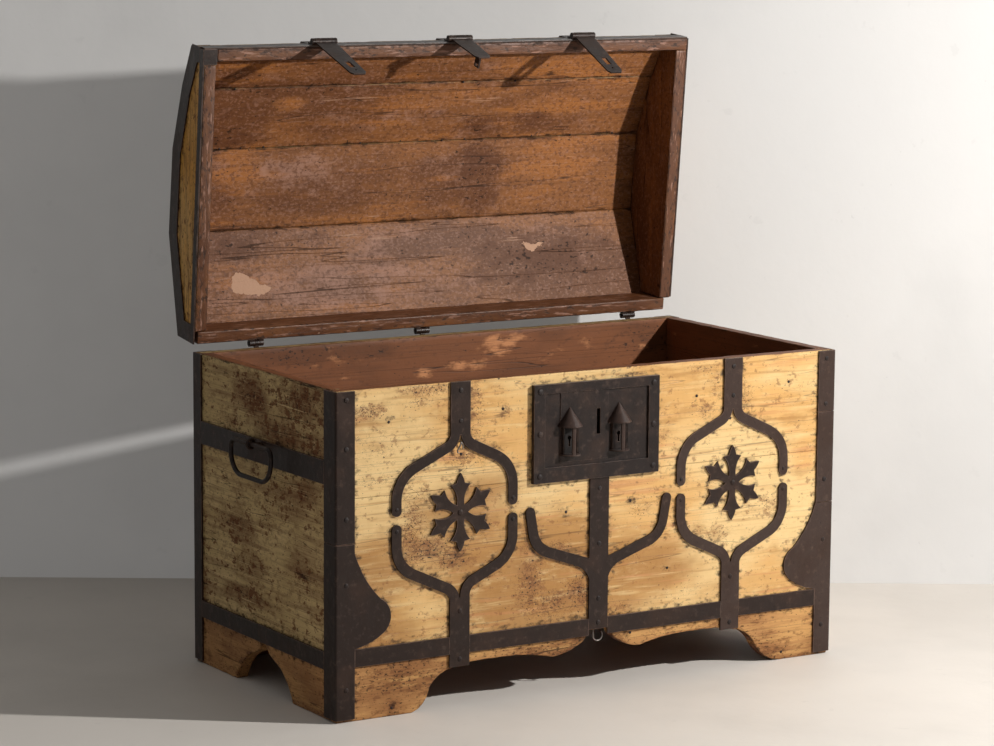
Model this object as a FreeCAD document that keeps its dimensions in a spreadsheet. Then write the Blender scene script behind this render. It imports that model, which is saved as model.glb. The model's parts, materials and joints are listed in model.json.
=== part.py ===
"""Dome-topped pine coffer with forged straps, three hasps, a plate lock and two ring handles.

The case frame has X to the right, -Y to the front and +Z up, with the floor at Z = 0 and the
middle of the case's footprint at X = Y = 0. Lid pieces are drawn in that frame with the lid shut,
then turned about the hinge line to the standing-open rest pose.
"""
import FreeCAD, Part
import math
import os
import re
from FreeCAD import Placement, Rotation, Vector

DIMENSIONS = (
    # carcass
    ("case_width", 1100.0), ("case_depth", 560.0), ("case_height", 604.0), ("board", 25.0),
    ("plinth_height", 116.5), ("front_seam", 408.0), ("back_seam", 360.0),
    ("side_seam_high", 395.0), ("side_seam_low", 190.0), ("floor_bottom", 120.0), ("floor_thick", 18.0),
    ("origin_back", 47.5),
    # plinth outline
    ("foot_inner", 402.0), ("foot_rise", 43.0), ("worn_toe", 27.0), ("foot_slope", 38.0),
    ("arch_run", 250.0), ("arch_height", 81.0), ("arch_shoulder", 64.0),
    ("drop_run", 98.0), ("drop_height", 68.0), ("notch_half", 30.0), ("notch_height", 110.0),
    ("notch_offset", 5.0), ("notch_lip", 12.0),
    ("side_foot_inner", 112.0), ("side_arch_run", 50.0), ("side_arch_height", 62.0), ("side_peak", 96.0),
    # ironwork on the case
    ("iron", 4.0), ("corner_leg", 36.0), ("corner_side_leg", 40.0), ("back_corner_leg", 30.0),
    ("corner_foot_gap", 5.0), ("left_corner_joint", 327.0), ("right_corner_joint_high", 484.0),
    ("right_corner_joint_low", 305.0), ("joint_gap", 1.0),
    ("lobe_top", 312.0), ("lobe_bottom", 133.2), ("lobe_reach", 110.0),
    ("band_bottom", 100.0), ("band_height", 33.0), ("side_band_bottom", 92.0),
    ("handle_band_bottom", 431.0), ("handle_band_height", 44.0),
    ("strap_width", 42.0), ("strap_foot", 76.0), ("left_strap", -295.0), ("right_strap", 311.0),
    ("centre_strap", 8.0), ("arm_width", 20.0), ("left_spread_left", 133.0), ("left_spread_right", 113.0),
    ("right_spread_left", 118.0), ("right_spread_right", 122.0), ("arm_turn", 65.0),
    ("arm_start", 10.5), ("small_bend", 30.0), ("upper_bend", 62.0), ("lower_bend", 58.0),
    ("rosette_height", 363.0), ("split_rise", 149.0), ("tip_rise", 4.0), ("tip_drop", 11.0),
    ("straight_drop", 52.0), ("upper_fork_split", "=rosette_height + split_rise"),
    ("upper_arm_tip", "=rosette_height + tip_rise"), ("lower_arm_tip", "=rosette_height - tip_drop"),
    ("lower_arm_straight", "=rosette_height - straight_drop"), ("centre_strap_foot", 112.0),
    ("centre_fork_root", 234.0),
    ("centre_arm_run", 112.0), ("centre_arm_slope", 18.8), ("centre_bend", 50.0),
    ("centre_arm_upright", 80.0), ("centre_arm_tip_length", 40.0),
    ("rosette_radius", 73.0), ("rosette_hub", 15.0),
    # lock
    ("plate_left", -141.0), ("plate_right", 137.0), ("plate_bottom", 401.0), ("plate_top", 585.0),
    ("plate_thick", 5.0), ("frame_thick", 4.0), ("frame_side", 24.0), ("frame_top", 18.0),
    ("frame_bottom", 28.0), ("cover_left", -82.0), ("cover_right", 23.5), ("cover_bottom", 437.0),
    ("cover_thick", 1.5), ("slot_middle", 2.0), ("slot_width", 8.0), ("slot_bottom", 484.0),
    ("slot_top", 532.0), ("left_hood", -62.0), ("right_hood", 48.0), ("hood_radius", 17.5),
    ("hood_wall", 2.5), ("hood_bottom", 452.0), ("eave_height", 503.0), ("eave_radius", 24.0),
    ("eave_thick", 2.0), ("roof_height", 35.0), ("hood_floor", 2.5), ("hood_post", 4.0),
    ("keyhole_radius", 4.0), ("keyhole_slit", 3.5),
    ("pocket_left", -80.0), ("pocket_right", 70.0), ("pocket_bottom", 445.0), ("pocket_top", 565.0),
    ("pocket_depth", 20.0), ("case_wall", 2.5), ("bolt_length", 52.0), ("bolt_depth", 4.0),
    ("bolt_tall", 6.0), ("bolt_play", 0.4), ("guide_width", 10.0),
    # lid
    ("rim_gap", 0.8), ("rim_height", "=case_height + rim_gap"), ("back_lap", 2.0), ("front_lap", 5.0),
    ("lid_back", "=case_depth / 2 + back_lap"), ("lid_depth", "=case_depth + back_lap + front_lap"),
    ("lid_plank", 18.0),
    ("rail", 24.0), ("end_lean", 4.0), ("open_angle", 84.7), ("back_rise", 76.0),
    ("crown_back_run", 190.0), ("crown_back_rise", 138.0), ("crown_front_run", 357.0),
    ("crown_front_rise", 134.0), ("shoulder_run", 485.0), ("shoulder_rise", 96.0),
    ("eave_rise", 57.0), ("back_rail_left", 6.0), ("back_rail_right", 14.0), ("lid_iron", 3.0),
    ("arch_band", 36.0), ("rim_band", 17.0), ("front_iron_height", 30.0), ("rim_corner_run", 30.0),
    ("rim_corner_reach", 27.0), ("arch_toe", 28.0), ("arch_heel", 36.0), ("strap_back_drop", 36.0),
    # hinges
    ("hinge_out", 9.5), ("hinge_rise", 7.0), ("hinge_back", "=case_depth / 2 + hinge_out"),
    ("hinge_height", "=case_height + hinge_rise"), ("hinge_radius", 6.5), ("hinge_pin", 2.5),
    ("running_gap", 0.06), ("hinge_half", 15.0), ("hinge_knuckle", 5.0), ("side_gap", 0.4),
    ("leaf_crank", 8.0), ("pin_over", 1.5),
    ("case_leaf_length", 62.0), ("lid_leaf_length", 52.0), ("left_hinge", -415.0),
    ("middle_hinge", -43.0), ("right_hinge", 450.0),
    # hasps
    ("hasp_drop", 4.0), ("hasp_out", 7.0), ("hasp_radius", 6.5), ("hasp_thick", 3.0),
    ("hasp_pin", 4.0), ("pin_head", 6.3), ("head_thick", 5.5),
    ("hasp_half", 21.0), ("hasp_tip_half", 17.0), ("hasp_knuckle", 12.6), ("hasp_neck", 7.5),
    ("left_hasp_length", 152.0), ("middle_hasp_length", 100.0), ("right_hasp_length", 141.0),
    ("right_hasp_place", 296.0), ("left_hasp_droop", 16.0), ("middle_hasp_droop", 14.5),
    ("right_hasp_droop", 23.5), ("hasp_slot_width", 11.0), ("hasp_slot_length", 26.0),
    ("staple_top", 80.0), ("staple_bottom", 96.0), ("staple_reach", 24.0), ("staple_thick", 4.0),
    # ring handles
    ("ring_axis_out", 26.0), ("ring_height", 470.0), ("ring_wire", 4.5), ("ring_half", 79.5),
    ("ring_drop", 64.0), ("ring_top_bend", 14.0), ("ring_low_bend", 40.0), ("eye_radius", 8.0),
    ("eye_wire", 2.9), ("eye_shank", 3.5), ("eye_boss", 8.4), ("eye_boss_thick", 2.5),
    # small fittings
    ("nail_radius", 5.0), ("nail_height", 2.2), ("nail_crown", 2.4), ("hook_wire", 1.6),
    ("staple_drop", 28.0), ("staple_height", "=upper_fork_split - staple_drop"),
    ("staple_half", 8.0), ("staple_stand", 8.0), ("wire_bend", 3.0),
    ("hook_place", 2.0), ("hook_drop", 24.0), ("hook_width", 23.0), ("hook_inset", 6.0),
    ("stud_inset", 13.0), ("rivet_inset", 16.0), ("rivet_spacing", 105.0),
)

doc = FreeCAD.newDocument("coffer")
sheet = doc.addObject("Spreadsheet::Sheet", "Sizes")
for row, (alias, value) in enumerate(DIMENSIONS, start=1):
    sheet.set("A%d" % row, alias)
    sheet.set("B%d" % row, str(value))
    sheet.setAlias("B%d" % row, alias)
doc.recompute()

NAMES = {alias for alias, value in DIMENSIONS}
NODES = []


def size(alias):
    """One driving dimension, read from the sheet."""
    return float(getattr(sheet, alias))


def bind(obj, prop, formula):
    """Bind a property to a formula of sheet aliases."""
    text = re.sub(r"[a-z][a-z_0-9]*", lambda m: "Sizes." + m[0] if m[0] in NAMES else m[0], formula)
    obj.setExpression(prop, text)


def keep(obj, label):
    """Mark an object as a finished sub-part."""
    obj.Label = label
    NODES.append(obj)
    return obj


# ---------------------------------------------------------------- frames
HALF_WIDTH = size("case_width") / 2
HALF_DEPTH = size("case_depth") / 2
FRONT = -HALF_DEPTH
IRON_FACE = FRONT - size("iron")
PLATE_FACE = FRONT - size("plate_thick")
RIM = size("rim_height")
LID_FRONT = size("lid_back") - size("lid_depth")


def shift(x=0.0, y=0.0, z=0.0):
    return Placement(Vector(x, y, z), Rotation())


def turned(point, axis, degrees):
    """A turn about an axis through a point."""
    return Placement(Vector(), Rotation(axis, degrees), point)


X_AXIS = Vector(1, 0, 0)
Y_AXIS = Vector(0, 1, 0)
Z_AXIS = Vector(0, 0, 1)
CASE = shift(y=-size("origin_back"))
HINGE = Vector(0, size("hinge_back"), size("hinge_height"))
LID = CASE * turned(HINGE, X_AXIS, -size("open_angle"))


# ---------------------------------------------------------------- building blocks
def block(name, sizes, corner, frame=CASE):
    """A box from three size formulas and its low corner."""
    box = doc.addObject("Part::Box", name)
    for prop, formula in zip(("Length", "Width", "Height"), sizes):
        bind(box, prop, formula)
    box.Placement = frame * shift(*corner)
    return box


def rod(name, radius, length, start, axis, frame=CASE):
    """A round bar from its start point along an axis."""
    bar = doc.addObject("Part::Cylinder", name)
    bind(bar, "Radius", radius)
    bind(bar, "Height", length)
    bar.Placement = frame * Placement(Vector(*start), Rotation(Z_AXIS, axis))
    return bar


def boolean(kind, name, base, tool, frame=Placement()):
    result = doc.addObject("Part::" + kind, name)
    result.Base = base
    result.Tool = tool
    result.Placement = frame
    return result


def group(name, shapes, kind="MultiFuse", frame=Placement()):
    """Several shapes fused into one solid, or held as separate solids by a compound."""
    result = doc.addObject("Part::" + kind, name)
    if kind == "Compound":
        result.Links = shapes
    else:
        result.Shapes = shapes
    result.Placement = frame
    return result


def outline_edges(outline):
    """Edges of a closed outline. A step is a point, or a (middle, end) pair of points for an arc."""
    edges = []
    start = here = Vector(*outline[0], 0)
    for step in outline[1:]:
        if isinstance(step[0], tuple):
            middle, end = (Vector(*point, 0) for point in step)
            edges.append(Part.Arc(here, middle, end))
        else:
            end = Vector(*step, 0)
            edges.append(Part.LineSegment(here, end))
        here = end
    if (here - start).Length > 1e-6:
        edges.append(Part.LineSegment(here, start))
    return edges


def add_pad(body, plane, outline, thickness, lift=0.0):
    """Pad one closed outline on an origin plane of the body. Planes: XY up, XZ to the front, YZ right."""
    sketch = body.newObject("Sketcher::SketchObject", body.Name + "_outline")
    origin_plane = next(item for item in body.Origin.OriginFeatures if item.Role == plane)
    sketch.AttachmentSupport = [(origin_plane, "")]
    sketch.MapMode = "FlatFace"
    sketch.AttachmentOffset = shift(z=lift)
    for edge in outline_edges(outline):
        sketch.addGeometry(edge, False)
    pad = body.newObject("PartDesign::Pad", body.Name + "_pad")
    pad.Profile = sketch
    bind(pad, "Length", thickness)
    return pad


def plate(name, plane, outlines, thickness, frame=CASE):
    """A flat piece: one or more joined outlines padded to the same thickness."""
    body = doc.addObject("PartDesign::Body", name)
    for outline in outlines:
        add_pad(body, plane, outline, thickness)
    body.Placement = frame
    return body


def rectangle(left, bottom, right, top):
    return [(left, bottom), (right, bottom), (right, top), (left, top)]


def mirrored(outline):
    """The same outline with its first coordinate turned over."""
    def flip(step):
        if isinstance(step[0], tuple):
            return tuple((-a, b) for a, b in step)
        return (-step[0], step[1])
    return [flip(step) for step in outline]


def moved(outline, across, up=0.0):
    def move(step):
        if isinstance(step[0], tuple):
            return tuple((a + across, b + up) for a, b in step)
        return (step[0] + across, step[1] + up)
    return [move(step) for step in outline]


def backwards(outline):
    """The same steps walked from the last point to the first."""
    ends = [step[1] if isinstance(step[0], tuple) else step for step in outline]
    walked = [ends[-1]]
    for step, goal in zip(outline[:0:-1], ends[-2::-1]):
        walked.append((step[0], goal) if isinstance(step[0], tuple) else goal)
    return walked


def ribbon(start, heading, path, width):
    """Outline of a flat bar of even width that follows runs and bends and ends in a round tip.

    A run is ("run", length) and a bend is ("bend", radius, degrees), where a positive angle turns
    left. Headings are degrees anticlockwise from the first axis.
    """
    half = width / 2
    sides = {1: [], -1: []}
    x, y = start
    angle = math.radians(heading)

    def edge_point(side, px, py, at):
        return (px - side * half * math.sin(at), py + side * half * math.cos(at))

    for side in sides:
        sides[side].append(edge_point(side, x, y, angle))
    for step in path:
        if step[0] == "run":
            x += step[1] * math.cos(angle)
            y += step[1] * math.sin(angle)
            for side in sides:
                sides[side].append(edge_point(side, x, y, angle))
            continue
        radius, sweep = step[1], math.radians(step[2])
        way = math.copysign(1, sweep)
        cx = x - way * radius * math.sin(angle)
        cy = y + way * radius * math.cos(angle)
        middle, end = angle + sweep / 2, angle + sweep

        def on_bend(at):
            return cx + way * radius * math.sin(at), cy - way * radius * math.cos(at)

        for side in sides:
            half_way = edge_point(side, *on_bend(middle), middle)
            sides[side].append((half_way, edge_point(side, *on_bend(end), end)))
        x, y = on_bend(end)
        angle = end
    tip = (x + half * math.cos(angle), y + half * math.sin(angle))
    back = backwards(sides[1])
    return sides[-1] + [(tip, back[0])] + back[1:]


# ---------------------------------------------------------------- carcass
def carcass_boards():
    width, depth = "case_width", "case_depth - 2 * board"
    inner_front = FRONT + size("board")
    end_places = (("left", -HALF_WIDTH), ("right", HALF_WIDTH - size("board")))
    keep(block("FloorBoards", ("case_width - 2 * board", depth, "floor_thick"),
               (size("board") - HALF_WIDTH, inner_front, size("floor_bottom"))), "floor_boards")

    upper = block("FrontUpper", (width, "board", "case_height - front_seam"),
                  (-HALF_WIDTH, FRONT, size("front_seam")), Placement())
    pocket = block("LockPocket", ("pocket_right - pocket_left", "pocket_depth", "pocket_top - pocket_bottom"),
                   (size("pocket_left"), FRONT, size("pocket_bottom")), Placement())
    keep(boolean("Cut", "FrontUpperBoard", upper, pocket, CASE), "front_upper_board")
    keep(block("FrontLower", (width, "board", "front_seam - plinth_height"),
               (-HALF_WIDTH, FRONT, size("plinth_height"))), "front_lower_board")

    seams = ("plinth_height", "back_seam", "case_height")
    backs = [block("BackBoard", (width, "board", "%s - %s" % (high, low)),
                   (-HALF_WIDTH, HALF_DEPTH - size("board"), size(low)), Placement())
             for low, high in zip(seams, seams[1:])]
    keep(group("BackBoards", backs, "Compound", CASE), "back_boards")

    for side, left in end_places:
        seams = ("plinth_height", "side_seam_low", "side_seam_high", "case_height")
        boards = [block(side.title() + "EndBoard", ("board", depth, "%s - %s" % (high, low)),
                        (left, inner_front, size(low)), Placement())
                  for low, high in zip(seams, seams[1:])]
        keep(group(side.title() + "EndBoards", boards, "Compound", CASE), side + "_end_boards")


def front_plinth_half(toe, notch):
    """Half of the apron's edge, from the corner to the notch. A worn toe starts its foot further out."""
    foot, rise, slope = size("foot_inner"), size("foot_rise"), size("foot_slope")
    arch, arch_top, shoulder = size("arch_run"), size("arch_height"), size("arch_shoulder")
    drop, drop_height = size("drop_run"), size("drop_height")
    lip, notch_top = size("notch_lip"), size("notch_height")
    return [(HALF_WIDTH - size("centre_strap"), 0.0), (foot + toe, 0.0),
            ((foot - (2 * slope - toe) / 3, 0.36 * rise), (foot - slope, rise)),
            ((foot - 1.45 * slope, 1.42 * rise), (arch + shoulder, 0.91 * arch_top)),
            ((arch + shoulder / 2, 0.985 * arch_top), (arch, arch_top)),
            (1.94 * drop, arch_top),
            ((1.47 * drop, 0.95 * arch_top), (drop, drop_height)),
            ((0.73 * drop, 1.06 * drop_height), (notch + lip, 1.25 * drop_height)),
            ((notch + 0.1 * lip, 0.85 * notch_top), (notch - lip / 2, notch_top))]


def front_plinth_outline():
    """Bracket feet with a long arch, a drop either side and a round-topped notch near the middle."""
    middle, notch, offset = size("centre_strap"), size("notch_half"), size("notch_offset")
    left = mirrored(front_plinth_half(0.0, notch - offset))
    left[0] = (-HALF_WIDTH - middle, 0.0)
    right = front_plinth_half(size("worn_toe"), notch + offset)
    top = size("plinth_height")
    outline = left + backwards(right) + [(HALF_WIDTH - middle, top), (-HALF_WIDTH - middle, top)]
    return moved(outline, middle)


def back_plinth_outline():
    """Two bracket feet joined by one plain arch."""
    foot, rise, slope = size("foot_inner"), size("foot_rise"), size("foot_slope")
    arch_top, top = size("arch_height"), size("plinth_height")
    inner = foot - 1.6 * slope
    return [(-HALF_WIDTH, 0.0), (-foot, 0.0), ((slope - foot, rise), (-inner, arch_top)), (inner, arch_top),
            ((foot - slope, rise), (foot, 0.0)), (HALF_WIDTH, 0.0), (HALF_WIDTH, top), (-HALF_WIDTH, top)]


def side_plinth_outline():
    """Two feet and an ogee arch that comes to a low point in the middle."""
    foot, run = size("side_foot_inner"), size("side_arch_run")
    arch, peak = size("side_arch_height"), size("side_peak")
    inner, top = HALF_DEPTH - size("board"), size("plinth_height")
    half = [(inner, 0.0), (foot, 0.0), ((0.81 * foot, 0.55 * arch), (run, arch)),
            ((0.4 * run, 1.22 * arch), (0.0, peak))]
    return mirrored(half) + backwards(half)[1:] + [(inner, top), (-inner, top)]


def plinths():
    keep(plate("FrontPlinth", "XZ_Plane", [front_plinth_outline()], "board",
               CASE * shift(y=FRONT + size("board"))), "front_plinth")
    keep(plate("BackPlinth", "XZ_Plane", [back_plinth_outline()], "board",
               CASE * shift(y=HALF_DEPTH)), "back_plinth")
    keep(plate("LeftPlinth", "YZ_Plane", [side_plinth_outline()], "board",
               CASE * shift(x=-HALF_WIDTH)), "left_plinth")
    keep(plate("RightPlinth", "YZ_Plane", [side_plinth_outline()], "board",
               CASE * shift(x=HALF_WIDTH - size("board"))), "right_plinth")


# ---------------------------------------------------------------- corner irons and bands
def angle_section(side, leg, side_leg, face, back=False):
    """Angle round a vertical corner, seen from above, with its outer edge rounded."""
    iron = size("iron")
    way = 1 if back else -1
    edge, outer, outer_face = HALF_WIDTH, HALF_WIDTH + iron, face + way * iron
    bend = (1 - math.sqrt(0.5)) * iron
    outline = [(edge - leg, face), (edge - leg, outer_face), (edge, outer_face),
               ((outer - bend, outer_face - way * bend), (outer, face)),
               (outer, face - way * side_leg), (edge, face - way * side_leg), (edge, face)]
    return outline if side == "right" else mirrored(outline)


def corner_iron(side, bottom, top):
    """One length of a front corner iron between two named heights. The lowest one has a lobe."""
    low = size(bottom)
    body = doc.addObject("PartDesign::Body", side.title() + "Iron")
    outline = angle_section(side, size("corner_leg"), size("corner_side_leg"), FRONT)
    add_pad(body, "XY_Plane", outline, "%s - %s - joint_gap" % (top, bottom))
    if bottom == "corner_foot_gap":
        edge, reach = HALF_WIDTH - size("corner_leg") + 1, HALF_WIDTH - size("lobe_reach")
        lobe_top, lobe_low = size("lobe_top") - low, size("lobe_bottom") - low
        tall = lobe_top - lobe_low
        lobe = [(edge, lobe_top), ((edge - 22, lobe_top - 0.28 * tall), (reach + 20, lobe_top - 0.51 * tall)),
                ((reach, lobe_top - 0.74 * tall), (reach + 16, lobe_low + 0.13 * tall)),
                ((reach + 42, lobe_low + 0.05 * tall), (edge, lobe_low))]
        add_pad(body, "XZ_Plane", lobe if side == "right" else mirrored(lobe), "iron", -FRONT)
    body.Placement = shift(z=low)
    return body


def corner_irons():
    joints = {"left": ["left_corner_joint"], "right": ["right_corner_joint_low", "right_corner_joint_high"]}
    for side, names in joints.items():
        heights = ["corner_foot_gap"] + names + ["case_height"]
        pieces = [corner_iron(side, low, high) for low, high in zip(heights, heights[1:])]
        keep(group(side.title() + "CornerIrons", pieces, "Compound", CASE), "front_%s_corner_irons" % side)
    backs = [plate(side.title() + "BackIron", "XY_Plane",
                   [angle_section(side, size("corner_leg"), size("back_corner_leg"), HALF_DEPTH, back=True)],
                   "case_height - corner_foot_gap", shift(z=size("corner_foot_gap")))
             for side in ("left", "right")]
    keep(group("BackIrons", backs, "Compound", CASE), "back_corner_irons")


def bands():
    """Flat bands: the base band runs between the straps, the handle bands cross the two ends."""
    half_strap = size("strap_width") / 2
    corner = HALF_WIDTH - size("corner_leg")
    edges = [-corner]
    for strap in ("left_strap", "centre_strap", "right_strap"):
        edges += [size(strap) - half_strap, size(strap) + half_strap]
    edges.append(corner)
    pieces = []
    for index in range(0, len(edges), 2):
        left, right = edges[index], edges[index + 1]
        pieces.append(plate("BaseBand", "XZ_Plane", [rectangle(left, 0, right, size("band_height"))],
                            "iron", shift(y=FRONT, z=size("band_bottom"))))
    keep(group("FrontBaseBand", pieces, "Compound", CASE), "front_base_band")

    run = "case_depth - corner_side_leg - back_corner_leg"
    start = FRONT + size("corner_side_leg")
    sides = (-HALF_WIDTH - size("iron"), HALF_WIDTH)
    base = [block("EndBaseBand", ("iron", run, "band_height"), (x, start, size("side_band_bottom")),
                  Placement())
            for x in sides]
    base.append(block("BackBaseBand", ("case_width - 2 * corner_leg", "iron", "band_height"),
                      (-corner, HALF_DEPTH, size("band_bottom")), Placement()))
    keep(group("RearBaseBands", base, "Compound", CASE), "end_and_back_base_bands")
    high = [block("HandleBand", ("iron", run, "handle_band_height"), (x, start, size("handle_band_bottom")),
                  Placement())
            for x in sides]
    keep(group("HandleBands", high, "Compound", CASE), "handle_bands")


# ---------------------------------------------------------------- forked straps and rosettes
def upper_arm(spread):
    """One arm that curves out from the foot of the stem and down to a round tip."""
    split, start = size("upper_fork_split"), size("arm_start")
    turn, tight, wide = size("arm_turn"), size("small_bend"), size("upper_bend")
    slope = math.radians(turn)
    run = (spread - start - (tight + wide) * (1 - math.cos(slope))) / math.sin(slope)
    straight = split - (tight + wide) * math.sin(slope) - run * math.cos(slope) - size("upper_arm_tip")
    tip = size("arm_width") / 2
    return ribbon((start, split), -90, [("bend", tight, turn), ("run", run), ("bend", wide, -turn),
                                        ("run", straight - tip)], size("arm_width"))


def lower_root(spread):
    """Height where a lower arm of this spread leaves the stem."""
    tight, wide, start = size("small_bend"), size("lower_bend"), size("arm_start")
    slope = math.radians(size("arm_turn"))
    run = (spread - start - (tight + wide) * (1 - math.cos(slope))) / math.sin(slope)
    return size("lower_arm_straight") - (tight + wide) * math.sin(slope) - run * math.cos(slope), run


def lower_arm(spread, foot):
    """The arm below, which leaves the stem and rises to a round tip. It starts at the given foot."""
    turn, (root, run) = size("arm_turn"), lower_root(spread)
    straight = size("lower_arm_tip") - size("lower_arm_straight") - size("arm_width") / 2
    return ribbon((size("arm_start"), foot), 90,
                  [("run", root - foot), ("bend", size("small_bend"), -turn), ("run", run),
                   ("bend", size("lower_bend"), turn), ("run", straight)], size("arm_width"))


def fork_outlines(side):
    """Outlines of the upper and the lower fork of one strap."""
    half = size("strap_width") / 2
    left, right = size(side + "_spread_left"), size(side + "_spread_right")
    upper = [rectangle(-half, size("upper_fork_split") - 6, half, size("case_height")),
             upper_arm(right), mirrored(upper_arm(left))]
    foot = min(lower_root(left)[0], lower_root(right)[0]) - 6
    lower = [rectangle(-half, size("strap_foot"), half, foot + 12),
             lower_arm(right, foot), mirrored(lower_arm(left, foot))]
    return upper, lower


def centre_fork_outlines():
    """A stem under the lock with two arms that reach out low and turn up at their ends."""
    half, root, run = size("strap_width") / 2, size("centre_fork_root"), size("centre_arm_run")
    slope, upright = size("centre_arm_slope"), size("centre_arm_upright")
    length = run / math.cos(math.radians(slope))
    arm = ribbon((0.0, root - 3), slope, [("run", length), ("bend", size("centre_bend"), upright - slope),
                                          ("run", size("centre_arm_tip_length"))], size("arm_width"))
    heel = [(half - 1, root - 32), ((half + 12, root - 6), (half + 34, root + 4)), (half - 1, root + 4)]
    stem = rectangle(-half, size("centre_strap_foot"), half, size("plate_bottom"))
    return [stem, arm, mirrored(arm), heel, mirrored(heel)]


def rosette(name, x):
    """Six barbed, pointed arms round a small hub."""
    hub, reach = size("rosette_hub"), size("rosette_radius")
    waist, barb = 0.53 * hub, 0.29 * reach
    half = [(waist, 0.0), (waist, 0.9 * hub), ((0.125 * reach, 0.44 * reach), (barb, 0.7 * reach)),
            (0.12 * reach, 0.74 * reach), ((0.075 * reach, 0.88 * reach), (0.0, reach))]
    arm = half + backwards(mirrored(half))[1:]
    body = doc.addObject("PartDesign::Body", name)
    add_pad(body, "XZ_Plane", [(hub, 0.0), ((0.0, hub), (-hub, 0.0)), ((0.0, -hub), (hub, 0.0))], "iron")
    pad = add_pad(body, "XZ_Plane", arm, "iron")
    pattern = body.newObject("PartDesign::PolarPattern", name + "_arms")
    pattern.Originals = [pad]
    pattern.Axis = (pad.Profile[0], ["N_Axis"])
    pattern.Angle = 360.0
    pattern.Occurrences = 6
    body.Tip = pattern
    body.Placement = CASE * shift(x, FRONT, size("rosette_height"))
    return body


def straps_and_rosettes():
    for side in ("left", "right"):
        x = size(side + "_strap")
        frame = CASE * shift(x=x, y=FRONT)
        for part, outlines in zip(("upper", "lower"), fork_outlines(side)):
            keep(plate((side + part).title() + "Fork", "XZ_Plane", outlines, "iron", frame),
                 "%s_%s_fork" % (side, part))
        keep(rosette(side.title() + "Rosette", x + 1), side + "_rosette")
    keep(plate("CentreFork", "XZ_Plane", centre_fork_outlines(), "iron",
               CASE * shift(x=size("centre_strap"), y=FRONT)), "centre_fork")


# ---------------------------------------------------------------- lock
def slot_block(name):
    """Cutter for the hasp staple's slot."""
    left, front = size("slot_middle") - size("slot_width") / 2, FRONT - size("board") / 2
    return block(name, ("slot_width", "board", "slot_top - slot_bottom"), (left, front, size("slot_bottom")),
                 Placement())


def keyhole(side):
    """Cutters for one keyhole: a round with a slit below it."""
    x, start = size(side + "_hood"), FRONT - size("board") / 2
    middle = (size("hood_bottom") + size("eave_height")) / 2
    radius, width = size("keyhole_radius"), size("keyhole_slit")
    return [rod("KeyRound", "keyhole_radius", "board", (x, start, middle + radius), Y_AXIS, Placement()),
            block("KeySlit", ("keyhole_slit", "board", "4 * keyhole_radius"),
                  (x - width / 2, start, middle - 3 * radius), Placement())]


def lock_plate():
    left, bottom = size("plate_left"), size("plate_bottom")
    blank = block("PlateBlank", ("plate_right - plate_left", "plate_thick", "plate_top - plate_bottom"),
                  (left, PLATE_FACE, bottom), Placement())
    cutters = [slot_block("PlateSlot")] + keyhole("left") + keyhole("right")
    keep(boolean("Cut", "LockPlate", blank, group("PlateCutters", cutters), CASE), "lock_plate")

    whole = block("FrameBlank", ("plate_right - plate_left", "frame_thick", "plate_top - plate_bottom"),
                  (left, PLATE_FACE - size("frame_thick"), bottom), Placement())
    window = block("FrameWindow", ("plate_right - plate_left - 2 * frame_side", "frame_thick",
                                   "plate_top - plate_bottom - frame_top - frame_bottom"),
                   (left + size("frame_side"), PLATE_FACE - size("frame_thick"),
                    bottom + size("frame_bottom")), Placement())
    keep(boolean("Cut", "LockFrame", whole, window, CASE), "lock_frame")

    cover = block("CoverBlank", ("cover_right - cover_left", "cover_thick",
                                 "plate_top - frame_top - cover_bottom"),
                  (size("cover_left"), PLATE_FACE - size("cover_thick"), size("cover_bottom")), Placement())
    cutters = [slot_block("CoverSlot")] + keyhole("left")
    keep(boolean("Cut", "LockCover", cover, group("CoverCutters", cutters), CASE), "lock_cover")


def half_round(name, kind, z, height, radius, face, x):
    """Half of an upright cylinder or cone that stands out from the plate."""
    solid = doc.addObject("Part::" + kind, name)
    if kind == "Cone":
        bind(solid, "Radius1", radius)
        solid.Radius2 = 0
    else:
        bind(solid, "Radius", radius)
    bind(solid, "Height", height)
    solid.Angle = 180
    solid.Placement = Placement(Vector(x, face, z), Rotation(Z_AXIS, 180))
    return solid


def keyhole_hood(name, x, face):
    """A small sentry box over a keyhole: a half cone roof on three posts with a thin floor."""
    bottom, eave = size("hood_bottom"), size("eave_height")
    tall = "eave_height - hood_bottom"
    shell = half_round(name + "Shell", "Cylinder", bottom, tall, "hood_radius", face, x)
    bore = half_round(name + "Bore", "Cylinder", bottom, tall, "hood_radius - hood_wall", face, x)
    tube = boolean("Cut", name + "Tube", shell, bore)
    post, radius = size("hood_post"), size("hood_radius")
    windows = [block(name + "Window", ("hood_radius - hood_post - 1", "hood_radius - 1", tall),
                     (left, face - radius - 4, bottom), Placement())
               for left in (x - radius + 1, x + post)]
    posts = boolean("Cut", name + "Posts", tube, group(name + "Windows", windows))
    pieces = [posts,
              half_round(name + "Floor", "Cylinder", bottom - size("hood_floor"), "hood_floor",
                         "hood_radius + 3", face, x),
              half_round(name + "Eave", "Cylinder", eave, "eave_thick", "eave_radius", face, x),
              half_round(name + "Roof", "Cone", eave + size("eave_thick"), "roof_height",
                         "eave_radius", face, x)]
    return group(name, pieces, frame=CASE)


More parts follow.
